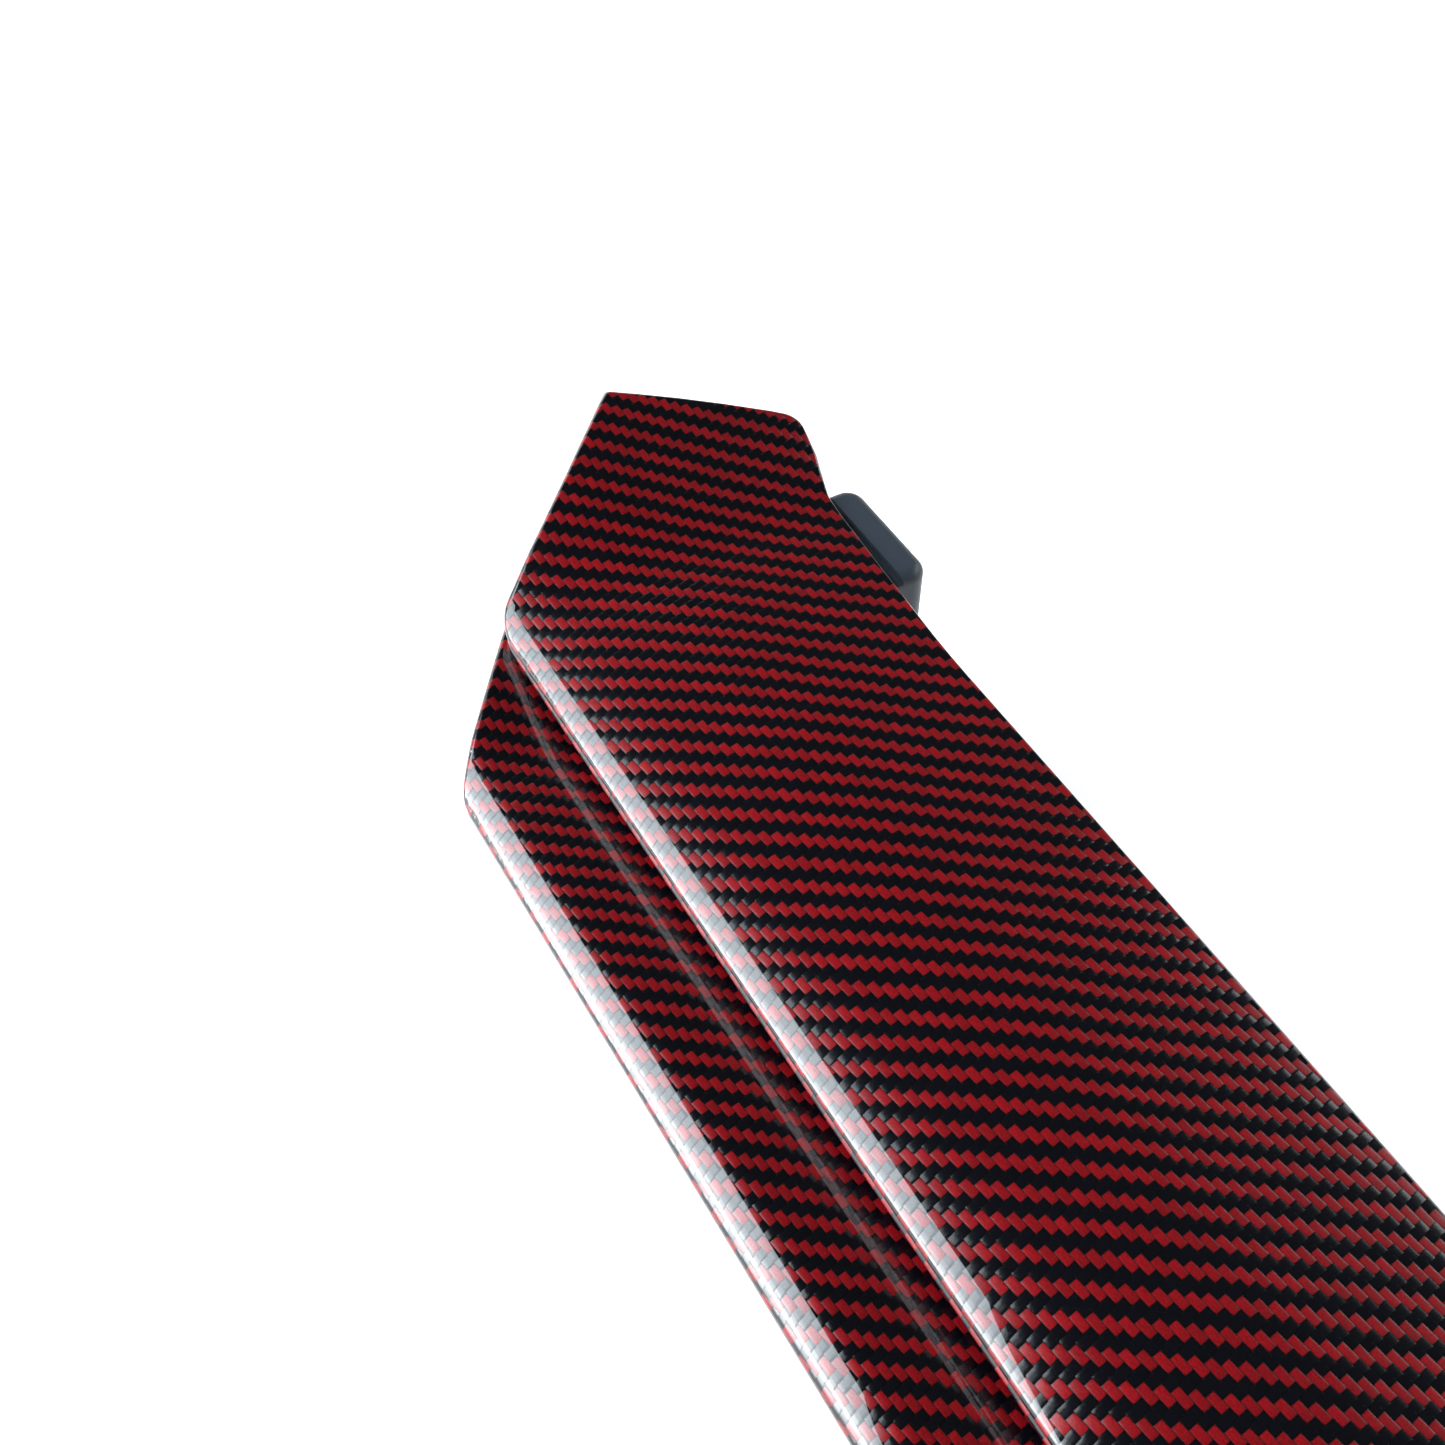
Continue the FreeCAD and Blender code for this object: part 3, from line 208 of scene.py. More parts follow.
def sweep(bm, blade, chain):
    """Left half of the shell, from the centre line out past the tip."""
    bend_x, radius, rise = blade["bend"]
    across = bm.verts.layers.float["across"]
    total = 0.0
    for k, vert in enumerate(chain):
        total += (vert.co - chain[k - 1].co).length if k else 0.0
        vert[across] = total
    straight = Vector((-bend_x / STRAIGHT_STEPS * MM, 0, 0))
    edges = draw_out(bm, list(bm.edges), straight, STRAIGHT_STEPS)
    centre = Vector((-bend_x, 0, blade["crown"][1] + radius)) * MM
    ring = list({v for e in edges for v in e.verts}) + edges
    result = bmesh.ops.spin(
        bm, geom=ring, cent=centre, axis=(0, 1, 0), angle=math.radians(rise), steps=BEND_STEPS,
    )
    run = blade["reach"] - bend_x
    lift = math.radians(rise)
    step = Vector((-math.cos(lift), 0, math.sin(lift))) * run / TIP_STEPS * MM
    draw_out(bm, ring_of(result["geom_last"]), step, TIP_STEPS)


# %% Outlines from above
CORNER_STEP = 9
HAIR = 1e-6
CLEAR = 0.2 * MM


def outline(corners):
    """Points of an outline through (x, y, radius) corners in millimetres, in metres."""
    points = []
    for k, (x, y, radius) in enumerate(corners):
        here = Vector((x, y)) * MM
        if radius == 0 or k in (0, len(corners) - 1):
            points.append(here)
            continue
        back = (Vector(corners[k - 1][:2]) * MM - here).normalized()
        ahead = (Vector(corners[k + 1][:2]) * MM - here).normalized()
        half = back.angle(ahead) / 2
        centre = here + (back + ahead).normalized() * radius * MM / math.sin(half)
        start = here + back * radius * MM / math.tan(half) - centre
        sweep_angle = math.pi - 2 * half
        steps = max(3, round(math.degrees(sweep_angle) / CORNER_STEP))
        side = 1 if start.x * ahead.y - start.y * ahead.x > 0 else -1
        for m in range(steps + 1):
            spin = Matrix.Rotation(side * sweep_angle * m / steps, 2)
            points.append(centre + spin @ start)
    return points


def inset(points, depth_at):
    """The same outline, moved inwards by a depth that changes along the chord."""
    moved = []
    for k, point in enumerate(points):
        before = points[max(k - 1, 0)]
        after = points[min(k + 1, len(points) - 1)]
        along = (point - before).normalized() if k else Vector((0, 0))
        along += (after - point).normalized() if k < len(points) - 1 else Vector((0, 0))
        along.normalize()
        moved.append(point + Vector((along.y, -along.x)) * depth_at(point.y))
    return moved


def inside(point, points):
    """True if a point lies within the outline, closed along the centre line."""
    hit = False
    for a, b in zip(points, points[1:] + points[:1]):
        if (a.y > point.y) != (b.y > point.y):
            if point.x < a.x + (point.y - a.y) * (b.x - a.x) / (b.y - a.y):
                hit = not hit
    return hit


def nearest(point, points):
    """Closest place on the outline."""
    best = None
    for a, b in zip(points, points[1:]):
        t = max(0.0, min(1.0, (point - a).dot(b - a) / (b - a).length_squared))
        place = a.lerp(b, t)
        if best is None or (place - point).length < (best - point).length:
            best = place
    return best


def trim(bm, points):
    """Cut the shell along an outline and drop what lies outside."""
    for a, b in zip(points, points[1:]):
        low = (min(a.x, b.x) - CLEAR, min(a.y, b.y) - CLEAR)
        high = (max(a.x, b.x) + CLEAR, max(a.y, b.y) + CLEAR)
        near = []
        for face in bm.faces:
            xs = [v.co.x for v in face.verts]
            ys = [v.co.y for v in face.verts]
            if min(xs) < high[0] and max(xs) > low[0] and min(ys) < high[1] and max(ys) > low[1]:
                near.append(face)
        if not near:
            continue
        geom = set(near)
        for face in near:
            geom.update(face.edges, face.verts)
        out = Vector((-(b.y - a.y), b.x - a.x, 0)).normalized()
        bmesh.ops.bisect_plane(
            bm, geom=list(geom), dist=1e-7, plane_co=(a.x, a.y, 0), plane_no=out,
        )
    gone = [f for f in bm.faces if not inside(f.calc_center_median().xy, points)]
    bmesh.ops.delete(bm, geom=gone, context="FACES")


# %% [markdown]
# ## Rolling the edge
# A moulded blade has no knife edge. The cut edge is extruded five times, each time a little further
# out and down, along a quarter circle: the same as a bevel, but its radius can follow the blade,
# which is thick at the nose and under two millimetres at the rear. The gap between the rolled top
# and the rolled underside is then bridged, so the shell is closed.

# %% Roll and close the edge
ROLL = (15, 35, 55, 75, 90)
EDGE = 1.4 * MM
EDGE_SPARE = 0.1 * MM
NOSE_ZONE = 3 * MM


def roll_edge(bm, points):
    """Round the open edge out to the true outline; gives its last edges, top and bottom apart."""
    bm.normal_update()
    rim = [e for e in bm.edges if e.is_boundary and min(abs(v.co.x) for v in e.verts) > HAIR]
    rim += [
        e for e in bm.edges
        if e.is_boundary and e not in set(rim) and max(abs(v.co.x) for v in e.verts) > HAIR
    ]
    frames = {}
    for vert in {v for e in rim for v in e.verts}:
        normal = vert.normal.copy()
        away = nearest(vert.co.xy, points) - vert.co.xy
        if abs(vert.co.x) < HAIR:
            normal.x = 0.0
            away.x = 0.0
        side = away.to_3d().normalized()
        side = (side - normal * side.dot(normal)).normalized()
        frames[vert] = (vert.co.copy(), side, normal, away.length)
    edges = rim
    for degrees in ROLL:
        result = bmesh.ops.extrude_edge_only(bm, edges=edges)["geom"]
        fresh = {v for v in result if isinstance(v, bmesh.types.BMVert)}
        turn = math.radians(degrees)
        onward = {}
        for vert in fresh:
            linked = [e.other_vert(vert) for e in vert.link_edges]
            parent = [other for other in linked if other in frames][0]
            place, side, normal, reach = frames[parent]
            vert.co = place + side * reach * math.sin(turn) - normal * reach * (1 - math.cos(turn))
            onward[vert] = frames[parent]
        edges = [e for e in ring_of(result) if all(v in fresh for v in e.verts)]
        frames = onward
    upper_rim = [e for e in edges if all(frames[v][2].z > 0 for v in e.verts)]
    lower_rim = [e for e in edges if all(frames[v][2].z <= 0 for v in e.verts)]
    return upper_rim, lower_rim


def along_span(point, blade):
    """Distance from the centre line along the bent blade."""
    bend_x, radius, rise = blade["bend"]
    centre = Vector((-bend_x, blade["crown"][1] + radius)) * MM
    arm = Vector((point.x, point.z)) - centre
    turn = math.atan2(-arm.x, -arm.y)
    limit = math.radians(rise)
    if turn <= 0:
        return -point.x
    if turn < limit:
        return bend_x * MM + radius * MM * turn
    knee = centre + Vector((-math.sin(limit), -math.cos(limit))) * radius * MM
    run = (Vector((point.x, point.z)) - knee).dot(Vector((-math.cos(limit), math.sin(limit))))
    return bend_x * MM + radius * MM * limit + run


def make_blade(name, blade, corners, covers):
    """One closed, soft-edged blade that stands for its CAD skins."""
    bm = bmesh.new()
    bm.verts.layers.float.new("across")
    along = bm.verts.layers.float.new("along")
    chain = walk(section_chain(bm, blade))
    heights = [(v.co.y, v.co.z) for v in chain]
    nose = min(range(len(heights)), key=lambda k: heights[k][0])
    top = sorted(heights[: nose + 1])
    low = sorted(heights[nose:])

    def thickness(y):
        z = []
        for line in (top, low):
            k = min(max(bisect_right(line, (y, 0.0)), 1), len(line) - 1)
            (y0, z0), (y1, z1) = line[k - 1], line[k]
            t = 0.0 if y1 == y0 else min(max((y - y0) / (y1 - y0), 0.0), 1.0)
            z.append(z0 + (z1 - z0) * t)
        return z[0] - z[1]

    def depth_at(y):
        if y < heights[nose][0] + NOSE_ZONE:
            return EDGE
        return min(EDGE, thickness(y) / 2 - EDGE_SPARE)

    sweep(bm, blade, chain)
    points = outline(corners)
    trim(bm, inset(points, depth_at))
    bmesh.ops.remove_doubles(bm, verts=bm.verts, dist=HAIR)
    bm.normal_update()
    top_face = max(bm.faces, key=lambda f: f.calc_center_median().z - abs(f.calc_center_median().x))
    if top_face.normal.z < 0:
        bmesh.ops.reverse_faces(bm, faces=bm.faces)
    upper_rim, lower_rim = roll_edge(bm, points)
    bmesh.ops.bridge_loops(bm, edges=upper_rim + lower_rim)
    open_edges = [
        e for e in bm.edges if e.is_boundary and max(abs(v.co.x) for v in e.verts) > HAIR
    ]
    bmesh.ops.holes_fill(bm, edges=open_edges, sides=8)
    for vert in bm.verts:
        vert[along] = along_span(vert.co, blade)
    bmesh.ops.mirror(
        bm, geom=bm.verts[:] + bm.edges[:] + bm.faces[:], axis="X", merge_dist=HAIR,
    )
    bmesh.ops.remove_doubles(bm, verts=bm.verts, dist=HAIR)
    bmesh.ops.recalc_face_normals(bm, faces=bm.faces)
    return finish_blade(name, bm, covers, blade["cloth"])


def finish_blade(name, bm, covers, laid):
    """Mesh, UV map and object of a blade, with the cloth as it is laid on it."""
    angle, fineness, *shifts = laid
    turn, offset = Matrix.Rotation(math.radians(angle), 2) * fineness, Vector(shifts) * MM
    along = bm.verts.layers.float["along"]
    across = bm.verts.layers.float["across"]
    cloth = bm.loops.layers.uv.new("cloth")
    for face in bm.faces:
        face.smooth = True
        for loop in face.loops:
            vert = loop.vert
            sign = -1 if face.calc_center_median().x < 0 else 1
            loop[cloth].uv = turn @ Vector((sign * vert[along], vert[across])) + offset
    gaps = sum(len(e.link_faces) != 2 for e in bm.edges)
    volume = bm.calc_volume() / MM ** 3 / 1000
    print(f"{name}: {len(bm.faces)} faces, {gaps} open or doubled edges, {volume:.0f} ml")
    mesh = bpy.data.meshes.new(name)
    bm.to_mesh(mesh)
    bm.free()
    piece = bpy.data.objects.new(name, mesh)
    bpy.context.scene.collection.objects.link(piece)
    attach(piece, "wing")
    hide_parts(*covers)
    return piece


# %% The upper blade
UPPER_CORNERS = (
    (0.0, -37.53, 0), (-321.32, -37.53, 12), (-342.13, -10.24, 500), (-365.05, 15.0, 2),
    (-355.24, 37.30, 250), (-342.43, 58.2, 6), (-331.0, 56.4, 11), (-318.0, 52.3, 11),
    (-262.0, 48.4, 300), (0.0, 48.4, 0),
)
upper_blade = make_blade("upper_blade", UPPER, UPPER_CORNERS, (
    "upper_blade_top_skin", "upper_blade_bottom_skin", "upper_blade_front_foam",
    "upper_tip_filler_left", "upper_tip_filler_right",
))

# %% The lower blade
LOWER_CORNERS = (
    (0.0, -63.50, 0), (-290.5, -63.50, 12), (-326.0, -32.86, 6),
    (-326.0, -4.0, 0.9), (0.0, -4.0, 0),
)
lower_blade = make_blade("lower_blade", LOWER, LOWER_CORNERS, (
    "lower_blade_top_skin", "lower_blade_bottom_skin", "lower_blade_foam",
))


# %% [markdown]
# ## Finishes
# A finish is a small graph of shader nodes. Three helpers keep each graph readable: one adds a node
# and links its inputs, one does sums and one mixes two colours.

# %% Helpers for node graphs
def add(tree, kind, inputs=None, **settings):
    """A node with its settings; each input is a value or another node's output."""
    made = tree.nodes.new("ShaderNode" + kind)
    for name, value in settings.items():
        setattr(made, name, value)
    for name, value in (inputs or {}).items():
        if isinstance(value, bpy.types.NodeSocket):
            tree.links.new(value, made.inputs[name])
        else:
            made.inputs[name].default_value = value
    return made


def calc(tree, operation, *values):
    """Result of one Math node."""
    return add(tree, "Math", dict(enumerate(values)), operation=operation).outputs[0]


def either(tree, choice, no, yes):
    """A number that moves from one value to another as the choice goes from 0 to 1."""
    return add(tree, "Mix", {0: choice, 2: no, 3: yes}, data_type="FLOAT").outputs[0]


def tint(tree, choice, no, yes):
    """The same for two colours."""
    return add(tree, "Mix", {0: choice, 6: no, 7: yes}, data_type="RGBA").outputs[2]


def fade(tree, value, low, high):
    """0 below the low value, 1 above the high one, soft between; low may be the larger."""
    spread = {"Value": value, "From Min": low, "From Max": high}
    return add(tree, "MapRange", spread, interpolation_type="SMOOTHSTEP").outputs[0]


def new_group(name, inputs, outputs):
    """An empty node group; gives its tree, its input values and its output sockets."""
    tree = bpy.data.node_groups.new(name, "ShaderNodeTree")
    for title, kind, value in inputs:
        socket = tree.interface.new_socket(title, in_out="INPUT", socket_type="NodeSocket" + kind)
        if value is not None:
            socket.default_value = value
    for title in outputs:
        tree.interface.new_socket(title, in_out="OUTPUT", socket_type="NodeSocketFloat")
    return tree, tree.nodes.new("NodeGroupInput").outputs, tree.nodes.new("NodeGroupOutput").inputs


def send(tree, value, socket):
    """A link from an output to an input."""
    tree.links.new(value, socket)


# %% [markdown]
# ## The weave
# The cloth is a two-by-two twill: every tow goes over two tows and under two, and each row is
# shifted by one, which gives the slanting ribs. Red aramid tows run along the span and black carbon
# tows along the chord. A picture of a weave would blur and repeat, so the group works the pattern
# out from the place on the cloth: its column, its row, and how far along and across its tow a point
# is. Both blades use it, so it is a node group.

# %% The twill group
TOW = 2.0 * MM
SWELL = 0.09

twill, given, wanted = new_group(
    "twill",
    (("Place", "Vector", None), ("Wander", "Float", 0.25)),
    ("Red", "Height", "Gap_shade", "Fibre", "Float"),
)
drift = add(twill, "TexNoise", {"Vector": given["Place"], "Scale": 0.09, "Detail": 2.0})
shift = add(
    twill, "VectorMath", {0: drift.outputs["Color"], 1: (0.5, 0.5, 0.5)}, operation="SUBTRACT",
)
shift = add(
    twill, "VectorMath", {0: shift.outputs[0], "Scale": given["Wander"]}, operation="SCALE",
)
place = add(twill, "VectorMath", {0: given["Place"], 1: shift.outputs[0]}, operation="ADD")
parts = add(twill, "SeparateXYZ", {0: place.outputs[0]}).outputs
row, in_row = calc(twill, "FLOOR", parts[1]), calc(twill, "FRACT", parts[1])
start = calc(twill, "SUBTRACT", calc(twill, "SUBTRACT", parts[0], row), SWELL)
lap = calc(twill, "FLOORED_MODULO", start, 4.0)
red = calc(twill, "LESS_THAN", lap, 2 - 2 * SWELL)
red_lap = calc(twill, "DIVIDE", lap, 1 - SWELL)
black_lap = calc(twill, "DIVIDE", calc(twill, "SUBTRACT", lap, 2 - 2 * SWELL), 1 + SWELL)
beat = either(twill, red, calc(twill, "ADD", black_lap, 2.0), red_lap)
in_column = calc(twill, "FRACT", beat)
across = either(twill, red, in_column, in_row)
down = calc(twill, "ADD", calc(twill, "SUBTRACT", 3.0, calc(twill, "FLOOR", beat)), in_row)
run = calc(twill, "MULTIPLY", either(twill, red, down, beat), 0.5)
side = calc(twill, "ABSOLUTE", calc(twill, "MULTIPLY_ADD", across, 2.0, -1.0))
end = calc(twill, "ABSOLUTE", calc(twill, "MULTIPLY_ADD", run, 2.0, -1.0))
crown = calc(twill, "SUBTRACT", 1.0, calc(twill, "POWER", side, 3.5))
arch = calc(twill, "SUBTRACT", 1.0, calc(twill, "POWER", end, 2.5))
height = calc(twill, "MULTIPLY_ADD", crown, 0.6, arch)

# %% Fibres, chance, and the dark gaps of the twill, partly painted shade
along = either(twill, red, parts[1], parts[0])
beside = either(twill, red, parts[0], parts[1])
lines = add(twill, "CombineXYZ", {
    0: calc(twill, "MULTIPLY", along, 1.1), 1: calc(twill, "MULTIPLY", beside, 14.0), 2: red,
})
fibre = add(twill, "TexNoise", {"Vector": lines.outputs[0], "Scale": 1.0, "Detail": 2.0})
turn_number = calc(twill, "FLOOR", calc(twill, "DIVIDE", start, 4.0))
column = calc(twill, "ADD", row, calc(twill, "FLOOR", beat))
tag = add(twill, "CombineXYZ", {0: turn_number, 1: either(twill, red, column, row), 2: red})
chance = add(twill, "TexWhiteNoise", {"Vector": tag.outputs[0]})
# Each tow darkens towards its sides and ends. This is partly the dark resin joints between tows,
# and partly painted shade in the creases where a tow dives under its neighbour.
corner = calc(twill, "ADD", calc(twill, "POWER", side, 6.0), calc(twill, "POWER", end, 9.0))
joint_shade = fade(twill, corner, 0.25, 0.9)
for title, value in (
    ("Red", red), ("Height", height), ("Gap_shade", joint_shade), ("Fibre", fibre.outputs[0]),
    ("Float", chance.outputs[0]),
):
    send(twill, value, wanted[title])
print("the twill repeats every", round(4 * TOW / MM), "mm")

# %% [markdown]
# ## The clear-coated cloth
# On the real blade the cloth lies under a thin layer of clear resin. Light is reflected twice:
# sharply by the flat resin, and softly by the tows below it. The Principled shader has both as its
# coat and its base, so the weave's bumps go to the base only and the coat stays smooth.

# %% The cloth finish
def new_finish(name):
    """A material with its shader; gives the material, its tree and the shader's inputs."""
    finish = bpy.data.materials.new(name)
    finish.use_nodes = True
    tree = finish.node_tree
    return finish, tree, tree.nodes["Principled BSDF"].inputs


ARAMID = (0.200, 0.0010, 0.003, 1), (0.280, 0.004, 0.009, 1)
CARBON = (0.0015, 0.0015, 0.0030, 1), (0.0030, 0.0030, 0.0058, 1)
CARBON_ROUGHNESS, ARAMID_ROUGHNESS = 0.18, 0.32
WANDER = 0.6
RELIEF = 0.10 * MM


def cloth_finish():
    """Red and black tows below a smooth clear coat."""
    finish, tree, shader = new_finish("aramid_carbon")
    flat = add(tree, "UVMap", uv_map="cloth")
    counted = add(tree, "Mapping", {"Vector": flat.outputs[0], "Scale": (1 / TOW, -1 / TOW, 1.0)})
    weave = add(tree, "Group", {}, node_tree=twill)
    send(tree, counted.outputs[0], weave.inputs["Place"])
    weave.inputs["Wander"].default_value = WANDER
    out = weave.outputs
    blotch = add(tree, "TexNoise", {"Vector": counted.outputs[0], "Scale": 5.0, "Detail": 3.0})
    bright = calc(tree, "MULTIPLY_ADD", out["Float"], 0.25, 0.85)
    bright = calc(tree, "MULTIPLY", bright, calc(tree, "MULTIPLY_ADD", out["Fibre"], 1.2, 0.4))
    bright = calc(tree, "MULTIPLY", bright, calc(tree, "MULTIPLY_ADD", blotch.outputs[0], 1.2, 0.4))
    aramid = tint(tree, blotch.outputs[0], *ARAMID)
    carbon = tint(tree, out["Fibre"], *CARBON)
    tow = tint(tree, out["Red"], carbon, aramid)
    # The tows' colour darkens at their gaps: dark joints, and painted shade in the creases between
    # tows.
    shade = calc(tree, "MULTIPLY", bright, calc(tree, "MULTIPLY_ADD", out["Gap_shade"], -0.85, 1.0))
    lit = add(tree, "VectorMath", {0: tow, "Scale": shade}, operation="SCALE")
    send(tree, lit.outputs[0], shader["Base Color"])
    rough = either(tree, out["Red"], CARBON_ROUGHNESS, ARAMID_ROUGHNESS)
    send(tree, rough, shader["Roughness"])
    relief = calc(tree, "MULTIPLY_ADD", out["Fibre"], 0.05, out["Height"])
    bump = add(tree, "Bump", {"Strength": 1.0, "Distance": RELIEF, "Height": relief})
    send(tree, bump.outputs[0], shader["Normal"])
    shader["Specular IOR Level"].default_value = 0.32
    shader["Coat Weight"].default_value = 1.0
    shader["Coat Roughness"].default_value = 0.012
    shader["Coat IOR"].default_value = 1.5
    return finish


cloth = cloth_finish()
for blade in (upper_blade, lower_blade):
    blade.data.materials.append(cloth)
print("cloth finish with", len(cloth.node_tree.nodes), "nodes")

# %% [markdown]
# ## Grain
# The other parts are plain stuff: moulded nylon, metal, rubber, resin and foam. What tells them
# apart up close is how colour and gloss drift over the surface and how rough it feels. One group
# gives a slow drift and a fine grain, and each material places it with its own sizes.

# %% The grain group
grain, given, wanted = new_group(
    "grain",
    (("Place", "Vector", None), ("Drift size", "Float", 30.0), ("Grain size", "Float", 1.0),
     ("Stretch", "Float", 1.0)),
    ("Drift", "Fine", "Pits"),
)
stretched = add(grain, "CombineXYZ", {0: 1.0, 1: 1.0, 2: given["Stretch"]})
place = add(grain, "VectorMath", {0: given["Place"], 1: stretched.outputs[0]}, operation="MULTIPLY")
near = calc(grain, "DIVIDE", 1000.0, given["Drift size"])
close = calc(grain, "DIVIDE", 1000.0, given["Grain size"])
slow = add(grain, "TexNoise", {"Vector": given["Place"], "Scale": near, "Detail": 3.0})
fine = add(grain, "TexNoise", {"Vector": place.outputs[0], "Scale": close, "Detail": 3.0})
spread = calc(grain, "MULTIPLY", close, 0.22)
cells = add(grain, "TexVoronoi", {"Vector": given["Place"], "Scale": spread})
send(grain, slow.outputs[0], wanted["Drift"])
send(grain, fine.outputs[0], wanted["Fine"])
send(grain, fade(grain, cells.outputs["Distance"], 0.22, 0.10), wanted["Pits"])

# %% [markdown]
# ## Metal, nylon, rubber, resin and foam
# Each row gives two colours that the drift moves between, two values of roughness, how metallic
# the stuff is, the size of its grain in millimetres, its stretch along the height, how deep the
# grain is in millimetres and how deep its pits are against that.

# %% The plain finishes
FINISHES = {
    "core_foam": (
        (0.80, 0.74, 0.55), (0.68, 0.60, 0.40),
        0.75, 0.95, 0.0, 0.8, 1.0, 0.10, 0.8,
    ),
    "tip_resin": (
        (0.050, 0.050, 0.055), (0.030, 0.030, 0.034),
        0.45, 0.65, 0.0, 0.6, 1.0, 0.02, 0.4,
    ),
    "insert_aluminium": (
        (0.75, 0.75, 0.77), (0.64, 0.64, 0.67),
        0.28, 0.42, 1.0, 0.5, 12.0, 0.01, 0.0,
    ),
    "spar_carbon": (
        (0.030, 0.030, 0.033), (0.016, 0.016, 0.019),
        0.30, 0.50, 0.0, 0.4, 0.2, 0.01, 0.0,
    ),
    "bracket_aluminium": (
        (0.050, 0.050, 0.056), (0.032, 0.032, 0.038),
        0.34, 0.50, 0.6, 0.25, 1.0, 0.006, 0.2,
    ),
    "black_steel": (
        (0.060, 0.060, 0.065), (0.030, 0.030, 0.034),
        0.30, 0.48, 0.8, 0.4, 1.0, 0.006, 0.0,
    ),
    "zinc_steel": (
        (0.62, 0.62, 0.63), (0.50, 0.51, 0.54),
        0.22, 0.38, 1.0, 0.6, 1.0, 0.006, 0.0,
    ),
    "bush_acetal": (
        (0.85, 0.84, 0.80), (0.78, 0.77, 0.72),
        0.35, 0.50, 0.0, 0.5, 1.0, 0.01, 0.0,
    ),
    "riser_nylon": (
        (0.036, 0.048, 0.064), (0.028, 0.038, 0.052),
        0.36, 0.50, 0.0, 0.5, 1.0, 0.02, 0.5,
    ),
    "black_rubber": (
        (0.030, 0.030, 0.030), (0.018, 0.018, 0.018),
        0.70, 0.90, 0.0, 0.35, 1.0, 0.03, 0.5,
    ),
}


def plain_finish(name, first, second, smooth, rough, metallic, size, stretch, depth, pits):
    """One plain finish from a row of the table."""
    finish, tree, shader = new_finish(name)
    place = add(tree, "TexCoord").outputs["Object"]
    stuff = add(tree, "Group", {}, node_tree=grain)
    send(tree, place, stuff.inputs["Place"])
    stuff.inputs["Grain size"].default_value = size
    stuff.inputs["Stretch"].default_value = 1 / stretch
    fine = stuff.outputs["Fine"]
    slow = calc(tree, "MULTIPLY", stuff.outputs["Drift"], 0.6)
    tone = calc(tree, "MULTIPLY_ADD", fine, 0.4, slow)
    colour = tint(tree, fade(tree, tone, 0.3, 0.7), (*first, 1), (*second, 1))
    send(tree, colour, shader["Base Color"])
    send(tree, either(tree, fade(tree, fine, 0.3, 0.7), smooth, rough), shader["Roughness"])
    dents = calc(tree, "MULTIPLY", stuff.outputs["Pits"], -pits)
    relief = calc(tree, "ADD", fine, dents)
    bump = add(tree, "Bump", {"Strength": 1.0, "Distance": depth * MM, "Height": relief})
    send(tree, bump.outputs[0], shader["Normal"])
    shader["Metallic"].default_value = metallic
    return finish


finishes = {name: plain_finish(name, *values) for name, values in FINISHES.items()}
finishes["aramid_carbon"] = cloth
for name, node in nodes.items():
    node.data.materials.clear()
    node.data.materials.append(finishes[SLOT_OF[name]])
print(len(finishes), "finishes on", len(nodes), "CAD nodes")

# %% [markdown]
# ## Floor and light
# The wing stands on a plain white floor. One tall soft lamp in front of the blades and high to
# their left lights them, and both rounded noses mirror it as a long pale band with a sharp inner
# edge. Three smaller glows hang just in front of it, one inside the other, because a real soft lamp
# is brightest in its middle: they make the white core of that band. Each glow is one centimetre
# nearer than the last, since lamps in the same plane hide one another in a reflection. A side lamp
# lights the faces that look to the left, and a rear lamp makes the black tows glint towards the
# trailing edge. The surroundings are dark overhead, so the flat tops show their weave, and they
# brighten towards the horizon. In front of the blades only, a narrow bright belt lies on that
# horizon for the foot of the noses; all round, it would wash out the other sides.

# %% The floor
FLOOR_GLOW = 0.6
FLOOR_HALF = 4.0
BELOW = 0.1 * MM


def floor_finish():
    """White, and as bright as the backdrop to the eye and in reflections only."""
    finish, tree, shader = new_finish("floor")
    path = add(tree, "LightPath").outputs
    mirrored = calc(tree, "MAXIMUM", path["Is Glossy Ray"], path["Is Transmission Ray"])
    seen = calc(tree, "MAXIMUM", path["Is Camera Ray"], mirrored)
    send(tree, calc(tree, "MULTIPLY", seen, FLOOR_GLOW), shader["Emission Strength"])
    shader["Emission Color"].default_value = (1, 1, 1, 1)
    shader["Base Color"].default_value = (0.82, 0.82, 0.82, 1)
    shader["Roughness"].default_value = 0.9
    shader["Specular IOR Level"].default_value = 0.1
    return finish


bm = bmesh.new()
bmesh.ops.create_grid(bm, size=FLOOR_HALF)
bmesh.ops.translate(bm, vec=(0, 0, cad_box[0].z - BELOW), verts=bm.verts)
floor = bpy.data.objects.new("floor", bpy.data.meshes.new("floor"))
bm.to_mesh(floor.data)
bm.free()
floor.data.materials.append(floor_finish())
bpy.context.scene.collection.objects.link(floor)

# %% The surroundings
HORIZON, OVERHEAD, BELT = 0.8, 0.045, 3.0

world = bpy.data.worlds.new("surroundings")
world.use_nodes = True
bpy.context.scene.world = world
sky = world.node_tree
towards = add(sky, "TexCoord").outputs["Generated"]
_, ahead, rise = add(sky, "SeparateXYZ", {0: towards}).outputs
brightness = either(sky, fade(sky, rise, 0.0, 0.5), HORIZON, OVERHEAD)
belt = calc(sky, "MULTIPLY", fade(sky, rise, 0.16, 0.06), fade(sky, ahead, -0.5, -0.75))
brightness = calc(sky, "MULTIPLY_ADD", belt, BELT, brightness)
path = add(sky, "LightPath").outputs
backdrop = sky.nodes["Background"].inputs
send(sky, either(sky, path["Is Camera Ray"], brightness, 1.0), backdrop["Strength"])
backdrop["Color"].default_value = (0.96, 0.98, 1.0, 1)


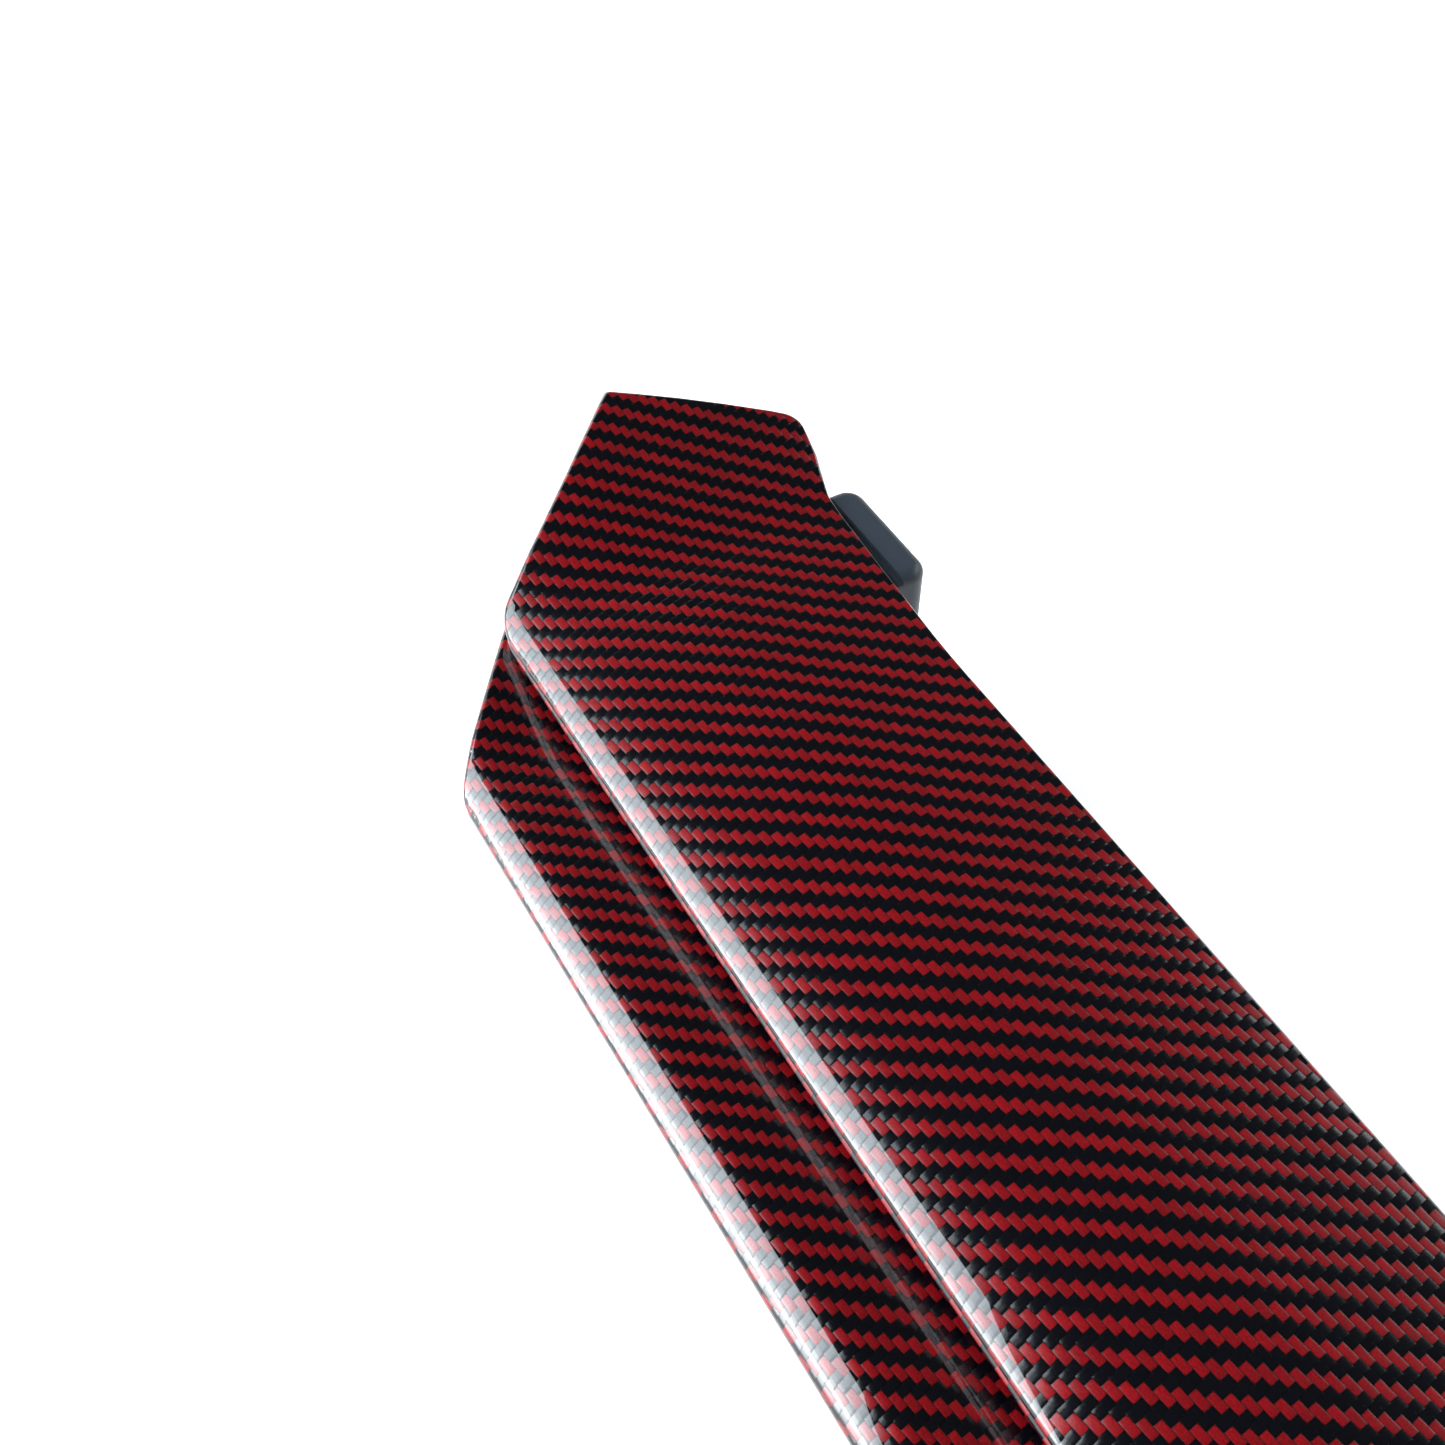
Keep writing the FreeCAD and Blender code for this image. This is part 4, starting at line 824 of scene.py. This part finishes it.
# %% The lamps
def soft_lamp(name, left, right, fall, height, glow, colour):
    """A rectangular lamp hung from the two ends of its top edge, with its glow in radiance."""
    left, right = Vector(left), Vector(right)
    side = (right - left).normalized()
    fall = Vector(fall)
    down = (fall - side * fall.dot(side)).normalized()
    lamp = bpy.data.lights.new(name, "AREA")
    lamp.shape = "RECTANGLE"
    lamp.size, lamp.size_y = (right - left).length, height
    lamp.energy = glow * math.pi * lamp.size * lamp.size_y
    lamp.color = colour
    thing = bpy.data.objects.new(name, lamp)
    bpy.context.scene.collection.objects.link(thing)
    centre = (left + right) / 2 + down * height / 2
    turn = Matrix((side, -down, down.cross(side))).transposed()
    thing.matrix_world = Matrix.Translation(centre) @ turn.to_4x4()


FAR_END, NEAR_END = Vector((-1.628, -0.593, 1.502)), Vector((-0.404, -0.763, 1.926))
FALL = Vector((0.1655, -0.652, -0.7396))
LAMP_END = FAR_END.lerp(NEAR_END, 0.8)
NEARER = (LAMP_END - FAR_END).cross(FALL).normalized() * 0.01
WHITE, COOL, DAYLIGHT = (1, 1, 1), (0.84, 0.93, 1.0), (0.95, 0.98, 1.0)

# name, how far down its left and right ends hang, height, glow, colour, layer
for name, left, right, height, glow, colour, layer in (
    ("tall_lamp", 0.0, 0.0, 2.0, 8.2, COOL, 0),
    ("outer_glow", 0.75, 0.85, 1.10, 1.5, WHITE, 1),
    ("inner_glow", 1.05, 1.12, 0.75, 3.0, WHITE, 2),
    ("core_glow", 1.32, 1.39, 0.25, 8.0, WHITE, 3),
):
    far = FAR_END + FALL * left + NEARER * layer
    near = LAMP_END + FALL * right + NEARER * layer
    soft_lamp(name, far, near, FALL, height, glow, colour)
for name, left, right, height, glow in (
    ("rear_lamp", (0.9, 1.5, 1.2), (-0.8, 1.5, 1.2), 0.55, 5.5),
    ("side_lamp", (-1.0, 0.35, 0.55), (-1.0, -0.35, 0.55), 0.45, 1.8),
):
    soft_lamp(name, left, right, (0, 0, -1), height, glow, DAYLIGHT)
bpy.context.scene.view_settings.view_transform = "Standard"
print("lamps and floor are in place")
